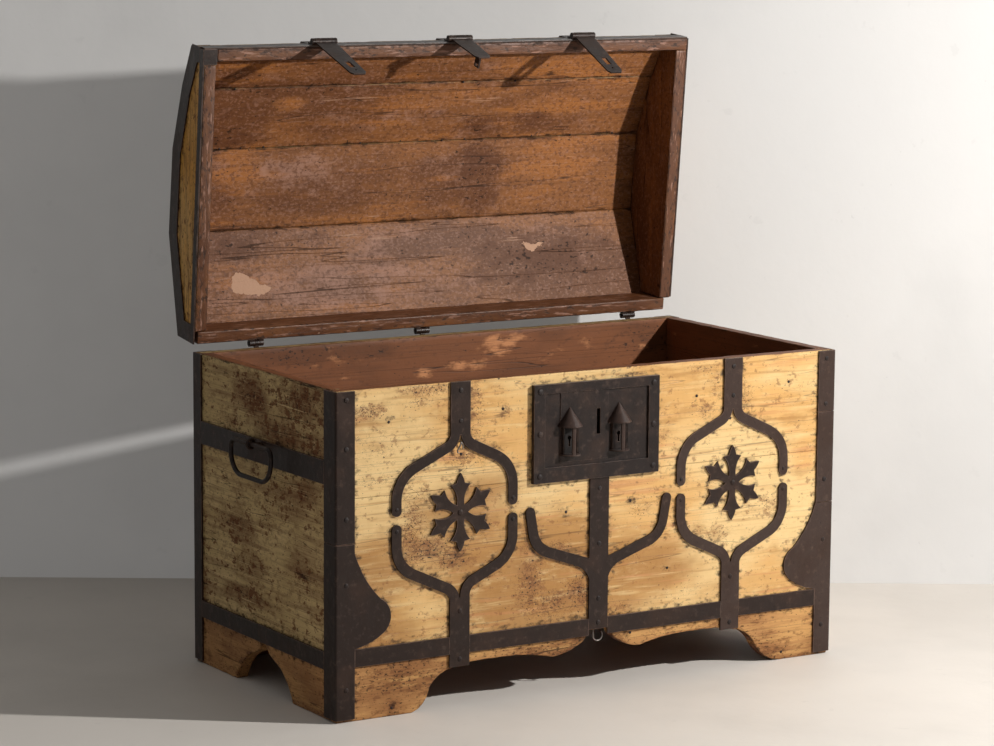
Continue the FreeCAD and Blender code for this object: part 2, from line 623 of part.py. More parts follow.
def lock():
    lock_plate()
    keep(keyhole_hood("LeftHood", size("left_hood"), PLATE_FACE - size("cover_thick")), "left_keyhole_hood")
    keep(keyhole_hood("RightHood", size("right_hood"), PLATE_FACE), "right_keyhole_hood")

    wall, depth = size("case_wall"), size("pocket_depth")
    left, bottom = size("pocket_left"), size("pocket_bottom")
    outer = block("CaseOuter", ("pocket_right - pocket_left", "pocket_depth", "pocket_top - pocket_bottom"),
                  (left, FRONT, bottom), Placement())
    inner = block("CaseInner", ("pocket_right - pocket_left - 2 * case_wall", "pocket_depth - case_wall",
                                "pocket_top - pocket_bottom - 2 * case_wall"),
                  (left + wall, FRONT, bottom + wall), Placement())
    shell = boolean("Cut", "CaseShell", outer, inner)
    # The bolt lies level with the staple's eye and slides left through a guide.
    bolt_y = LID_FRONT - size("lid_iron") - size("hasp_out") + size("staple_reach") - 5.2
    pivot_z = RIM + size("hasp_drop")
    bolt_z = pivot_z - (size("staple_top") + size("staple_bottom")) / 2
    play = size("bolt_play")
    guide = block("Guide", ("guide_width", "pocket_depth - case_wall", "bolt_tall * 2"),
                  (28, FRONT, bolt_z - size("bolt_tall")), Placement())
    channel = block("Channel", ("guide_width + 2", "bolt_depth + 2 * bolt_play", "bolt_tall + 2 * bolt_play"),
                    (27, bolt_y - size("bolt_depth") / 2 - play, bolt_z - size("bolt_tall") / 2 - play),
                    Placement())
    bored = boolean("Cut", "GuideBored", guide, channel)
    keep(group("LockCase", [shell, bored], frame=CASE), "lock_case")
    keep(block("LockBolt", ("bolt_length", "bolt_depth", "bolt_tall"),
               (size("slot_middle") + size("slot_width") / 2 + 4, bolt_y - size("bolt_depth") / 2,
                bolt_z - size("bolt_tall") / 2)), "lock_bolt")


# ---------------------------------------------------------------- lid woodwork
DOME = [(0.0, size("back_rise")), (size("crown_back_run"), size("crown_back_rise")),
        (size("crown_front_run"), size("crown_front_rise")), (size("shoulder_run"), size("shoulder_rise")),
        (size("lid_depth"), size("eave_rise"))]


def offset_dome(distance):
    """The dome line moved outwards square to each plank, with its ends kept on the front and back."""
    lines = []
    for (u0, n0), (u1, n1) in zip(DOME, DOME[1:]):
        length = math.hypot(u1 - u0, n1 - n0)
        du, dn = (u1 - u0) / length, (n1 - n0) / length
        lines.append((u0 - dn * distance, n0 + du * distance, du, dn))
    first, last = lines[0], lines[-1]
    points = [(0.0, first[1] - first[0] * first[3] / first[2])]
    for (a0, b0, da, db), (c0, e0, dc, de) in zip(lines, lines[1:]):
        step = ((c0 - a0) * de - (e0 - b0) * dc) / (da * de - db * dc)
        points.append((a0 + step * da, b0 + step * db))
    depth = size("lid_depth")
    points.append((depth, last[1] + (depth - last[0]) * last[3] / last[2]))
    return points


def section(points):
    """Lid section points, run from the back and rise above the rim, as points of the YZ plane."""
    return [(size("lid_back") - run, RIM + rise) for run, rise in points]


def across(name, outline, width, left):
    """A prism along X from a lid section outline."""
    return plate(name, "YZ_Plane", [outline], width, shift(x=left))


SPARE = 10.0  # how far a cutter runs past the face it cuts
FAR = 200.0  # thickness of a slab that takes or leaves everything on one side of a face


def end_slab(side, inner, outer):
    """A slab that leans in with the end of the lid, between two depths measured out from its face."""
    way = 1 if side == "right" else -1
    slab = doc.addObject("Part::Box", side.title() + "Slab")
    slab.Length = outer - inner
    bind(slab, "Width", "lid_depth + case_width")
    bind(slab, "Height", "case_width")
    corner = shift(HALF_WIDTH + inner if way > 0 else -HALF_WIDTH - outer, -HALF_WIDTH - HALF_DEPTH,
                   RIM - HALF_DEPTH)
    lean = turned(Vector(way * HALF_WIDTH, 0, RIM), Y_AXIS, -way * size("end_lean"))
    slab.Placement = lean * corner
    return slab


def rim_corner_space():
    """Space for the iron let into the rim at its left front corner."""
    return block("CornerSpace", ("rim_corner_reach + %g" % SPARE, "rim_corner_run", "lid_iron"),
                 (-HALF_WIDTH - SPARE, LID_FRONT, RIM), Placement())


def lid_woodwork():
    outer, inner = section(DOME), section(offset_dome(-size("lid_plank")))
    labels = ("lid_plank_back", "lid_plank_crown", "lid_plank_shoulder", "lid_plank_front")
    for index, label in enumerate(labels):
        outline = [outer[index], outer[index + 1], inner[index + 1], inner[index]]
        name = label.title().replace("_", "")
        plank = across(name + "Blank", outline, "case_width", -HALF_WIDTH)
        trims = group(name + "Trims", [end_slab("left", 0, FAR), end_slab("right", 0, FAR)], "Compound")
        keep(boolean("Cut", name, plank, trims, LID), label)

    rail, back = size("rail"), size("lid_back")
    under = section(offset_dome(-size("lid_plank")))

    def height_at(y):
        """Underside of the planks above a point of the rim."""
        for (y0, z0), (y1, z1) in zip(under, under[1:]):
            if y1 <= y <= y0:
                return z0 + (z1 - z0) * (y - y0) / (y1 - y0)
        return under[-1][1]

    back_rail = [(back, RIM), (back - rail, RIM), (back - rail, height_at(back - rail)), under[0]]
    rail_body = across("LidBackRail", back_rail, "case_width - back_rail_left - back_rail_right",
                       size("back_rail_left") - HALF_WIDTH)
    rail_body.Placement = LID * rail_body.Placement
    keep(rail_body, "lid_back_rail")

    front_inner = LID_FRONT + rail
    front_rail = [(LID_FRONT, RIM), (LID_FRONT, under[-1][1]), (front_inner, height_at(front_inner)),
                  (front_inner, RIM)]
    front_blank = across("FrontRailBlank", front_rail, "case_width", -HALF_WIDTH)
    cutters = [rim_corner_space(), end_slab("left", 0, FAR), end_slab("right", 0, FAR)]
    keep(boolean("Cut", "LidFrontRail", front_blank, group("FrontRailCutters", cutters), LID),
         "lid_front_rail")

    back_inner = back - rail - 0.5
    profile = [(back_inner, RIM), (back_inner, height_at(back_inner)), under[1], under[2],
               under[3], (front_inner, height_at(front_inner)), (front_inner, RIM)]
    for side in ("left", "right"):
        blank = across(side.title() + "EndBlank", profile, "board + 30",
                       HALF_WIDTH - size("board") - 20 if side == "right" else -HALF_WIDTH - 10)
        leaned = boolean("Common", side.title() + "EndLeaned", blank, end_slab(side, -size("board"), 0))
        if side == "left":
            leaned = boolean("Cut", "LeftEndLetIn", leaned, rim_corner_space())
        leaned.Placement = LID
        keep(leaned, "lid_%s_end_panel" % side)


# ---------------------------------------------------------------- lid ironwork
def dome_ring(name, outside, inside, width, left):
    """A band that follows the dome between two offsets from the plank tops."""
    top, under = section(offset_dome(outside)), section(offset_dome(inside))
    return across(name, top + under[::-1], width, left)


def end_space(side):
    """Where the flanges of one end start, and how wide a blank they are cut from."""
    width = size("arch_band") + 2 * SPARE
    return (HALF_WIDTH + SPARE - width if side == "right" else -HALF_WIDTH - SPARE), width


def end_arch(side):
    """The iron over one end of the dome: a flange on the end face and one on the planks."""
    iron, name = size("lid_iron"), side.title()
    left, width = end_space(side)
    span = "%g" % width
    foot = RIM + size("rim_band")
    toe = block(name + "Toe", (span, "arch_toe + lid_iron", "eave_rise - rim_band"),
                (left, LID_FRONT - iron, foot), Placement())
    parts = [dome_ring(name + "FaceRing", iron, -size("arch_band"), span, left), toe]
    if side == "left":
        parts.append(block(name + "Heel", (span, "arch_heel", "back_rise - rim_band"),
                           (left, size("lid_back") - size("arch_heel"), foot), Placement()))
    face = boolean("Common", name + "ArchFace", group(name + "FaceWhole", parts),
                   end_slab(side, 0, iron))
    top = boolean("Common", name + "ArchTop", dome_ring(name + "TopRing", iron, 0.0, span, left),
                  end_slab(side, -size("arch_band"), 0))
    whole = group(name + "ArchWhole", [face, top])
    if side == "left":
        whole.Placement = LID
        return whole
    return boolean("Cut", "RightArch", whole, missing_corner("RightArchCorner"), LID)


def missing_corner(name):
    """The lower back corner of the right end, where the irons stop short of the back rail."""
    return block(name, ("case_width", "rail + rim_band", "case_height"),
                 (size("right_strap"), size("lid_back") - size("rail") - 2, RIM - 1), Placement())


def rim_iron(side):
    """Band along the foot of one end face. The left one turns in under the rim at its front corner."""
    iron = size("lid_iron")
    left, width = end_space(side)
    strip = block(side.title() + "RimStrip", ("%g" % width, "lid_depth", "rim_band"), (left, LID_FRONT, RIM),
                  Placement())
    face = boolean("Common", side.title() + "RimFace", strip, end_slab(side, 0, iron))
    if side == "right":
        return boolean("Cut", "RightRimIronShort", face, missing_corner("RightRimCorner"))
    corner = boolean("Common", "LeftRimCorner", rim_corner_space(), end_slab(side, -FAR, 0))
    return group("LeftRimIron", [face, corner])


def front_edge_iron():
    """Flat iron along the front rail of the lid."""
    face = block("FrontIronFace", ("case_width", "lid_iron", "front_iron_height"),
                 (-HALF_WIDTH, LID_FRONT - size("lid_iron"), RIM), Placement())
    cutters = group("FrontIronTrims", [end_slab("left", 0, FAR), end_slab("right", 0, FAR)], "Compound")
    return boolean("Cut", "FrontEdgeIron", face, cutters, LID)


def dome_strap(name, x):
    """A strap from the front edge iron over the dome and part of the way down the back rail."""
    iron, back = size("lid_iron"), size("lid_back")
    top = section(offset_dome(iron))
    foot = RIM + size("front_iron_height")
    drop = RIM + size("back_rise") - size("strap_back_drop")
    rise = (top[0][1] - top[1][1]) / (top[0][0] - top[1][0])
    fall = (top[-1][1] - top[-2][1]) / (top[-1][0] - top[-2][0])
    outline = [(back, drop), (back + iron, drop), (back + iron, top[0][1] + rise * iron), top[1], top[2],
               top[3], (LID_FRONT - iron, top[-1][1] - fall * iron), (LID_FRONT - iron, foot),
               (LID_FRONT, foot)] + section(DOME)[::-1]
    return across(name, outline, "strap_width", x - size("strap_width") / 2)


def lid_ironwork():
    for side in ("left", "right"):
        keep(end_arch(side), "lid_%s_arch_iron" % side)
    keep(group("RimIrons", [rim_iron("left"), rim_iron("right")], "Compound", LID), "lid_rim_irons")
    keep(front_edge_iron(), "lid_front_edge_iron")
    straps = [dome_strap("DomeStrap", x)
              for x in (size("left_strap"), size("centre_strap"), size("right_hasp_place"))]
    keep(group("DomeStraps", straps, "Compound", LID), "lid_dome_straps")


# ---------------------------------------------------------------- hinges
def knuckle(name, half, centre, y, z, radius, hole):
    """A bored knuckle along X."""
    start, length = (centre - half, y, z), "%g" % (2 * half)
    return (rod(name + "Barrel", radius, length, start, X_AXIS, Placement()),
            rod(name + "Bore", hole, length, start, X_AXIS, Placement()))


def case_hinge_leaf(name, x):
    """A leaf nailed to the back of the case, cranked out to one middle knuckle."""
    y, z, radius = size("hinge_back"), size("hinge_height"), size("hinge_radius")
    half, middle = size("hinge_half"), size("hinge_knuckle")
    thick = size("iron") - 0.5
    top = z - radius - size("leaf_crank")
    leaf = block(name + "Leaf", ("2 * hinge_half", "iron - 0.5", "case_leaf_length"),
                 (x - half, HALF_DEPTH, top - size("case_leaf_length")), Placement())
    crank = [(HALF_DEPTH, top - 3), (HALF_DEPTH + thick, top - 3), (y + 1, z - radius + 0.5),
             (y - 2, z - radius + 2.5), (HALF_DEPTH, top)]
    web = plate(name + "Crank", "YZ_Plane", [crank], "2 * hinge_knuckle", shift(x=x - middle))
    barrel, bore = knuckle(name, middle, x, y, z, "hinge_radius", "hinge_pin")
    return boolean("Cut", name, group(name + "Whole", [leaf, web, barrel]), bore)


def lid_hinge_leaf(name, x):
    """A leaf nailed to the back of the lid, with a knuckle at each edge."""
    y, z = size("hinge_back"), size("hinge_height")
    half, middle, gap = size("hinge_half"), size("hinge_knuckle"), size("side_gap")
    leaf = block(name + "Leaf", ("2 * hinge_half", "lid_iron", "lid_leaf_length"),
                 (x - half, size("lid_back"), RIM + 1), Placement())
    notch = block(name + "Notch", ("2 * hinge_knuckle + 2 * side_gap", "lid_iron", "hinge_radius + 11"),
                  (x - middle - gap, size("lid_back"), RIM), Placement())
    width = (half - middle - gap) / 2
    barrels, bores = [], []
    for way in (-1, 1):
        centre = x + way * (middle + gap + width)
        barrel, bore = knuckle(name + "Knuckle", width, centre, y, z, "hinge_radius",
                               "hinge_pin + running_gap")
        barrels.append(barrel)
        bores.append(bore)
    whole = group(name + "Whole", [boolean("Cut", name + "Notched", leaf, notch)] + barrels)
    return boolean("Cut", name, whole, group(name + "Bores", bores))


def hinges():
    places = [size("left_hinge"), size("middle_hinge"), size("right_hinge")]
    keep(group("CaseHingeLeaves", [case_hinge_leaf("CaseHinge", x) for x in places], "Compound", CASE),
         "case_hinge_leaves")
    keep(group("LidHingeLeaves", [lid_hinge_leaf("LidHinge", x) for x in places], "Compound", LID),
         "lid_hinge_leaves")
    half = size("hinge_half") + size("pin_over")
    pins = [rod("HingePin", "hinge_pin", "2 * (hinge_half + pin_over)",
                (x - half, size("hinge_back"), size("hinge_height")), X_AXIS, Placement()) for x in places]
    keep(group("HingePins", pins, "Compound", CASE), "hinge_pins")


# ---------------------------------------------------------------- hasps
HASP_Y = LID_FRONT - size("lid_iron") - size("hasp_out")
HASP_Z = RIM + size("hasp_drop")


def hasp_bracket(name, x):
    """The lid's half of a hasp hinge: a notched leaf on the front iron and two outer knuckles."""
    half, middle, gap = size("hasp_half"), size("hasp_knuckle"), size("side_gap")
    face = LID_FRONT - size("lid_iron")
    leaf = block(name + "Leaf", ("2 * hasp_half", "hasp_thick", "front_iron_height - 5"),
                 (x - half, face - size("hasp_thick"), RIM + 3), Placement())
    notch = block(name + "Notch", ("2 * hasp_knuckle + 2 * side_gap", "hasp_thick", "hasp_neck"),
                  (x - middle - gap, face - size("hasp_thick"), RIM + 3), Placement())
    width = (half - middle - gap) / 2
    barrels, bores = [], []
    for way in (-1, 1):
        centre = x + way * (middle + gap + width)
        barrel, bore = knuckle(name + "Knuckle", width, centre, HASP_Y, HASP_Z, "hasp_radius",
                               "hasp_pin + running_gap")
        barrels.append(barrel)
        bores.append(bore)
    whole = group(name + "Whole", [boolean("Cut", name + "Notched", leaf, notch)] + barrels)
    return boolean("Cut", name, whole, group(name + "Bores", bores))


def hasp(side, x, slotted=True):
    """A tapering hasp hanging plumb from its knuckle, then turned in to its rest droop."""
    length, half, tip = size(side + "_hasp_length"), size("hasp_half"), size("hasp_tip_half")
    middle, neck = size("hasp_knuckle"), size("hasp_neck")
    thick = size("hasp_thick")
    name = side.title() + "Hasp"
    leaf = [(-middle, 0.0), (-middle, -neck), (-half, -neck), (-tip, 8 - length), (-tip + 5, -length),
            (tip - 5, -length), (tip, 8 - length), (half, -neck), (middle, -neck), (middle, 0.0)]
    blade = plate(name + "Blade", "XZ_Plane", [moved(leaf, x, HASP_Z)], "hasp_thick",
                  shift(y=HASP_Y + thick / 2))
    barrel, bore = knuckle(name, middle, x, HASP_Y, HASP_Z, "hasp_radius", "hasp_pin + running_gap")
    parts, cutters = [blade, barrel], [bore]
    if slotted:
        cutters.append(block(name + "Slot", ("hasp_slot_width", "20", "hasp_slot_length"),
                             (x - size("hasp_slot_width") / 2, HASP_Y - 10,
                              HASP_Z - length + 30), Placement()))
        cutters.append(rod(name + "NailHole", "2.6", "20", (x, HASP_Y - 10, HASP_Z - length + 17),
                           Y_AXIS, Placement()))
    else:
        top, low = size("staple_top"), size("staple_bottom")
        staple_left = size("slot_middle") - size("staple_thick") / 2
        parts.append(block(name + "Staple",
                           ("staple_thick", "staple_reach - 1", "staple_bottom - staple_top"),
                           (staple_left, HASP_Y + 1, HASP_Z - low), Placement()))
        eye_middle = HASP_Z - (top + low) / 2
        cutters.append(block(name + "StapleEye", ("20", "bolt_depth + 2", "bolt_tall + 3"),
                             (staple_left - 8, HASP_Y + size("staple_reach") - 8.2,
                              eye_middle - (size("bolt_tall") + 3) / 2), Placement()))
    droop = turned(Vector(x, HASP_Y, HASP_Z), X_AXIS, size(side + "_hasp_droop"))
    return boolean("Cut", name, group(name + "Whole", parts), group(name + "Cutters", cutters), LID * droop)


def hasp_pin(name, x):
    """A stout pin with a forged head at each end."""
    half, thick, gap = size("hasp_half"), size("head_thick"), size("side_gap")
    parts = [rod(name + "Shank", "hasp_pin", "2 * (hasp_half + side_gap)", (x - half - gap, HASP_Y, HASP_Z),
                 X_AXIS, Placement())]
    for start in (x - half - gap - thick, x + half + gap):
        parts.append(rod(name + "Head", "pin_head", "head_thick", (start, HASP_Y, HASP_Z), X_AXIS,
                         Placement()))
    return group(name, parts, frame=LID)


def hasps():
    places = (("left", size("left_strap")), ("middle", size("centre_strap")),
              ("right", size("right_hasp_place")))
    brackets = [hasp_bracket("HaspBracket", x) for side, x in places]
    keep(group("HaspBrackets", brackets, "Compound", LID), "lid_hasp_brackets")
    for side, x in places:
        keep(hasp(side, x, slotted=side != "middle"), side + "_hasp")
        keep(hasp_pin(side.title() + "HaspPin", x), side + "_hasp_pin")


# ---------------------------------------------------------------- ring handles
def ring_handle(name, way):
    """A closed ring with a straight top bar, hanging in the plane of the case end."""
    half, drop = size("ring_half"), size("ring_drop")
    top, low = size("ring_top_bend"), size("ring_low_bend")
    x, z = way * (HALF_WIDTH + size("ring_axis_out")), size("ring_height")

    def at(y, height):
        return Vector(x, y, z + height)

    def corner(y, height, radius, from_top, inward):
        """Quarter bend at one corner of the ring, from the side to the bar or back."""
        slant = radius * (1 - math.sqrt(0.5))
        side_point = at(y, height + (-radius if from_top else radius))
        bar_point = at(y + inward * radius, height)
        middle = at(y + inward * slant, height + (-slant if from_top else slant))
        return side_point, middle, bar_point

    lt = corner(-half, 0, top, True, 1)
    rt = corner(half, 0, top, True, -1)
    lb = corner(-half, -drop, low, False, 1)
    rb = corner(half, -drop, low, False, -1)
    edges = [Part.LineSegment(at(0, 0), rt[2]), Part.Arc(rt[2], rt[1], rt[0]), Part.LineSegment(rt[0], rb[0]),
             Part.Arc(rb[0], rb[1], rb[2]), Part.LineSegment(rb[2], lb[2]), Part.Arc(lb[2], lb[1], lb[0]),
             Part.LineSegment(lb[0], lt[0]), Part.Arc(lt[0], lt[1], lt[2]), Part.LineSegment(lt[2], at(0, 0))]
    path = Part.Wire([edge.toShape() for edge in edges])
    profile = Part.Wire(Part.makeCircle(size("ring_wire"), at(0, 0), Y_AXIS))
    ring = doc.addObject("Part::Feature", name)
    ring.Shape = path.makePipeShell([profile], True, False)
    expected = math.pi * size("ring_wire") ** 2 * path.Length
    if abs(ring.Shape.Volume / expected - 1) > 0.02:
        raise RuntimeError("%s is not a full ring" % name)
    ring.Placement = CASE
    return ring


def eye(name, way):
    """A forged eye that carries the ring, on a shank driven to the band."""
    x, z = way * (HALF_WIDTH + size("ring_axis_out")), size("ring_height")
    torus = doc.addObject("Part::Torus", name + "Ring")
    bind(torus, "Radius1", "eye_radius")
    bind(torus, "Radius2", "eye_wire")
    torus.Placement = Placement(Vector(x, 0, z), Rotation(Z_AXIS, Y_AXIS))
    start, outward = way * (HALF_WIDTH + size("iron")), Vector(way, 0, 0)
    shank = rod(name + "Shank", "eye_shank", "ring_axis_out - iron - eye_radius", (start, 0, z - 1.5),
                outward, Placement())
    boss = rod(name + "Boss", "eye_boss", "eye_boss_thick", (start, 0, z - 6), outward, Placement())
    return group(name, [torus, shank, boss])


def handles():
    keep(ring_handle("LeftRing", -1), "left_ring_handle")
    keep(ring_handle("RightRing", 1), "right_ring_handle")
    keep(group("HandleEyes", [eye("LeftEye", -1), eye("RightEye", 1)], "Compound", CASE), "handle_eyes")


# ---------------------------------------------------------------- nails and small fittings
def nail(x, face, z, scale=1.0):
    """A low nail head on a surface that faces the front."""
    head = doc.addObject("Part::Cone", "Nail")
    bind(head, "Radius1", "nail_radius * %.2f" % scale)
    bind(head, "Radius2", "nail_crown * %.2f" % scale)
    bind(head, "Height", "nail_height")
    head.Placement = Placement(Vector(x, face, z), Rotation(Z_AXIS, Vector(0, -1, 0)))
    return head


def nails():
    left, right, centre = size("left_strap"), size("right_strap"), size("centre_strap")
    top, inset = size("case_height"), size("rivet_inset")
    split, rosette = size("upper_fork_split"), size("rosette_height")
    arms, band = size("centre_fork_root"), size("band_bottom")
    over_rosette = rosette + size("rosette_radius")
    wood = [(444, top - 56), (228, top - 67), (-203, top - 58), (-443, top - 63), (80, arms + 115),
            (-64, arms + 107), (166, arms - 23), (left + 3, split - 42), (right - 4, over_rosette + 52),
            (-436, 15), (439, 15), (83, band - 5)]
    keep(group("BoardNails", [nail(x, FRONT, z, 0.6) for x, z in wood], "Compound", CASE), "board_nails")

    iron = [(left, rosette, 1.2), (right + 2, rosette, 1.2)]
    root = band + size("band_height")
    for side, x in (("left", left), ("right", right)):
        iron += [(x, top - inset, 1.0), (x, split + 20, 1.0), (x, root + 47, 1.0),
                 (x, size("strap_foot") + 14, 1.0)]
        for tip in (x - size(side + "_spread_left"), x + size(side + "_spread_right")):
            iron += [(tip, size("upper_arm_tip") + 13, 0.8), (tip, size("lower_arm_tip") - 12, 0.8)]
    iron += [(centre, z, 1.0) for z in (size("plate_bottom") - 21, arms + 41, root + 37,
                                        size("centre_strap_foot") + 12)]
    corner, spacing = HALF_WIDTH - size("corner_leg") / 2, size("rivet_spacing")
    for x, joint in ((-corner, size("left_corner_joint")), (corner, size("right_corner_joint_low"))):
        heights = [top - inset, top - spacing, joint + 45, joint - 75, size("corner_foot_gap") + 55]
        iron += [(x, z, 1.0) for z in heights]
    heads = [nail(x, IRON_FACE, z, scale) for x, z, scale in iron]

    face, inset = PLATE_FACE - size("frame_thick"), size("stud_inset")
    low, high = size("plate_bottom") + inset, size("plate_top") - inset
    for x in (size("plate_left") + inset, size("plate_right") - inset):
        heads += [nail(x, face, z, 1.2) for z in (low, (low + high) / 2, high)]
    keep(group("IronRivets", heads, "Compound", CASE), "iron_rivets")


def bent_wire(name, points, radius, bend):
    """Round wire along straight runs joined by tangent bends."""
    corners = [Vector(*point) for point in points]
    edges, here = [], corners[0]
    for before, corner, after in zip(corners, corners[1:], corners[2:]):
        inward, onward = (before - corner).normalize(), (after - corner).normalize()
        half_turn = math.acos(max(-1.0, min(1.0, inward.dot(onward)))) / 2
        reach = bend / math.tan(half_turn)
        start, end = corner + inward * reach, corner + onward * reach
        middle_way = (inward + onward).normalize()
        middle = corner + middle_way * (bend / math.sin(half_turn) - bend)
        edges += [Part.LineSegment(here, start), Part.Arc(start, middle, end)]
        here = end
    edges.append(Part.LineSegment(here, corners[-1]))
    path = Part.Wire([edge.toShape() for edge in edges])
    profile = Part.Wire(Part.makeCircle(radius, corners[0], (corners[1] - corners[0]).normalize()))
    wire = doc.addObject("Part::Feature", name)
    wire.Shape = path.makePipeShell([profile], True, False)
    wire.Placement = CASE
    return wire


def fittings():
    radius, x, z = size("hook_wire"), size("left_strap"), size("staple_height")
    half, reach = size("staple_half"), size("staple_stand")
    bend = size("wire_bend")
    keep(bent_wire("HaspStaple", [(x, FRONT, z + half), (x, FRONT - reach, z + half),
                                  (x, FRONT - reach, z - half), (x, FRONT, z - half)], radius, bend),
         "hasp_staple")
    x, top, drop = size("hook_place"), size("notch_height"), size("hook_drop")
    y, tip = FRONT + size("hook_inset"), x + size("hook_width")
    keep(bent_wire("ApronHook", [(x, y, top), (x, y, top - drop), (tip, y, top - drop),
                                 (tip, y, top - drop / 2)], radius, bend), "apron_hook")


# ---------------------------------------------------------------- assembly
carcass_boards()
plinths()
corner_irons()
bands()
straps_and_rosettes()
lock()
lid_woodwork()
lid_ironwork()
hinges()
hasps()
handles()
nails()
fittings()
doc.recompute()

for item in doc.Objects:
    if "Invalid" in item.State or "Error" in item.State:
        raise RuntimeError("%s failed: %s" % (item.Label, item.State))
for node in NODES:
    if node.Shape.isNull() or not node.Shape.isValid() or not node.Shape.Solids:
        raise RuntimeError("%s has no valid solid" % node.Label)

os.makedirs("parts", exist_ok=True)
for node in NODES:
    node.Shape.exportStep("parts/%s.step" % node.Label)
print("%d sub-parts" % len(NODES))
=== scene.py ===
"""Dresses the coffer chest: painted and varnished pine, forged iron, nails, floor, wall and light."""

import json
import math
from typing import NamedTuple

import bmesh
import bpy
from bpy.props import FloatProperty, FloatVectorProperty, IntProperty, PointerProperty
from mathutils import Matrix, Vector, kdtree, noise
from mathutils.bvhtree import BVHTree


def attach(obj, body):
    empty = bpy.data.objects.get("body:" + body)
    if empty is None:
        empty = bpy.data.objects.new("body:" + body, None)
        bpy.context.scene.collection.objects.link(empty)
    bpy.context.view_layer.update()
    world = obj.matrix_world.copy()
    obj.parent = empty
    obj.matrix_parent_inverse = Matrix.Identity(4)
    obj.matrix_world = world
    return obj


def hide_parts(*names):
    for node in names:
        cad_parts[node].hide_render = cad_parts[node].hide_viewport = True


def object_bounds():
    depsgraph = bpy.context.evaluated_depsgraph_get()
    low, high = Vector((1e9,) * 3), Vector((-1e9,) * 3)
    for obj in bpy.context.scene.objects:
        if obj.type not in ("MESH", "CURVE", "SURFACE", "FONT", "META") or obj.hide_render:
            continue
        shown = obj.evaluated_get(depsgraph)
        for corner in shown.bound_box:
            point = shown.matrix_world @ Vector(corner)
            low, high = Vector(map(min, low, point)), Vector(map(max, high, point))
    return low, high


bl_info = {
    "name": "Coffer chest",
    "version": (1, 0, 0),
    "blender": (4, 5, 0),
    "location": "3D View > Sidebar > Coffer",
    "description": "Dresses a dome-topped coffer chest with old paint, varnish and forged iron",
    "category": "Object",
}

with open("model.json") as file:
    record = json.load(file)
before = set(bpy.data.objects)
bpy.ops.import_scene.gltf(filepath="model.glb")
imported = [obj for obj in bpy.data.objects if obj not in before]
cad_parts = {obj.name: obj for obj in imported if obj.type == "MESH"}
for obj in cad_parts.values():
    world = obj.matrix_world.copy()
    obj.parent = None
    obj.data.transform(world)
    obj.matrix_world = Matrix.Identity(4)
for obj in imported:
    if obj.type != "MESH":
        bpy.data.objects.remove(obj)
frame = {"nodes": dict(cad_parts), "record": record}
CAD_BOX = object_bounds()
noise.seed_set(1)             # without a seed the noise vectors would differ from run to run
MM = 0.001
MERGE = 1e-5                  # corners closer than this are one corner
FLAT = math.radians(0.8)      # triangles that fold less than this are one face
SHARP = math.radians(28)      # a fold sharper than this is an edge
ROUND = math.radians(60)      # the same on wires and nail heads
EDGE_REACH = 14 * MM          # how far from an edge the wear shows in the finish
DENT_REACH = 9 * MM           # how far from an edge the dents run
IRON_REACH = 40 * MM          # how far from the iron its grime fades out
IRON_HOLD = 2 * MM            # wood closer than this to iron keeps its shape
CHIP_REACH = 10 * MM          # how far from a chip's outline its mark runs
CHIP_DEPTH = 5 * MM           # how far off its plane a chip still marks the wood
BIG_FACE = 60 * MM * MM       # faces larger than this stay flat when an outline wavers
WARP, DENTS, WAVER = 7, 42, 24  # how close the waves of a board, of its dents and of an iron's outline lie
SOFT_MARKS = ("dark", "pale", "warm", "amber", "knot")
WHITE, LAMPLIGHT = (1.0, 1.0, 1.0, 1.0), (1.0, 0.98, 0.95)
CAMERA_PLACE = Vector((-3.30090, -5.33568, 1.50270))
CAMERA_YAW, CAMERA_PITCH, CAMERA_ROLL = 0.5520, 0.1501, 0.0072
CAMERA_LENS, CAMERA_FILM, CAMERA_FAR = 118.35, 36.0, 60.0   # the first two in mm
LAMP_PLACE = (1.35, -1.76, 1.45)
FLOOR_HALF, WALL_HALF, WALL_HEIGHT = 9, 7, 5


# ---------------------------------------------------------------- colours and settings

def linear(text):
    """An sRGB hex colour as linear red, green and blue."""
    parts = [int(text[i:i + 2], 16) / 255 for i in (1, 3, 5)]
    return tuple(p / 12.92 if p <= 0.04045 else ((p + 0.055) / 1.055) ** 2.4 for p in parts)


def colour(name, description, text):
    return FloatVectorProperty(name=name, description=description, default=linear(text), min=0, max=1,
                               size=3, subtype="COLOR")


def length(name, description, value):
    return FloatProperty(name=name, description=description, default=value, min=0, unit="LENGTH")


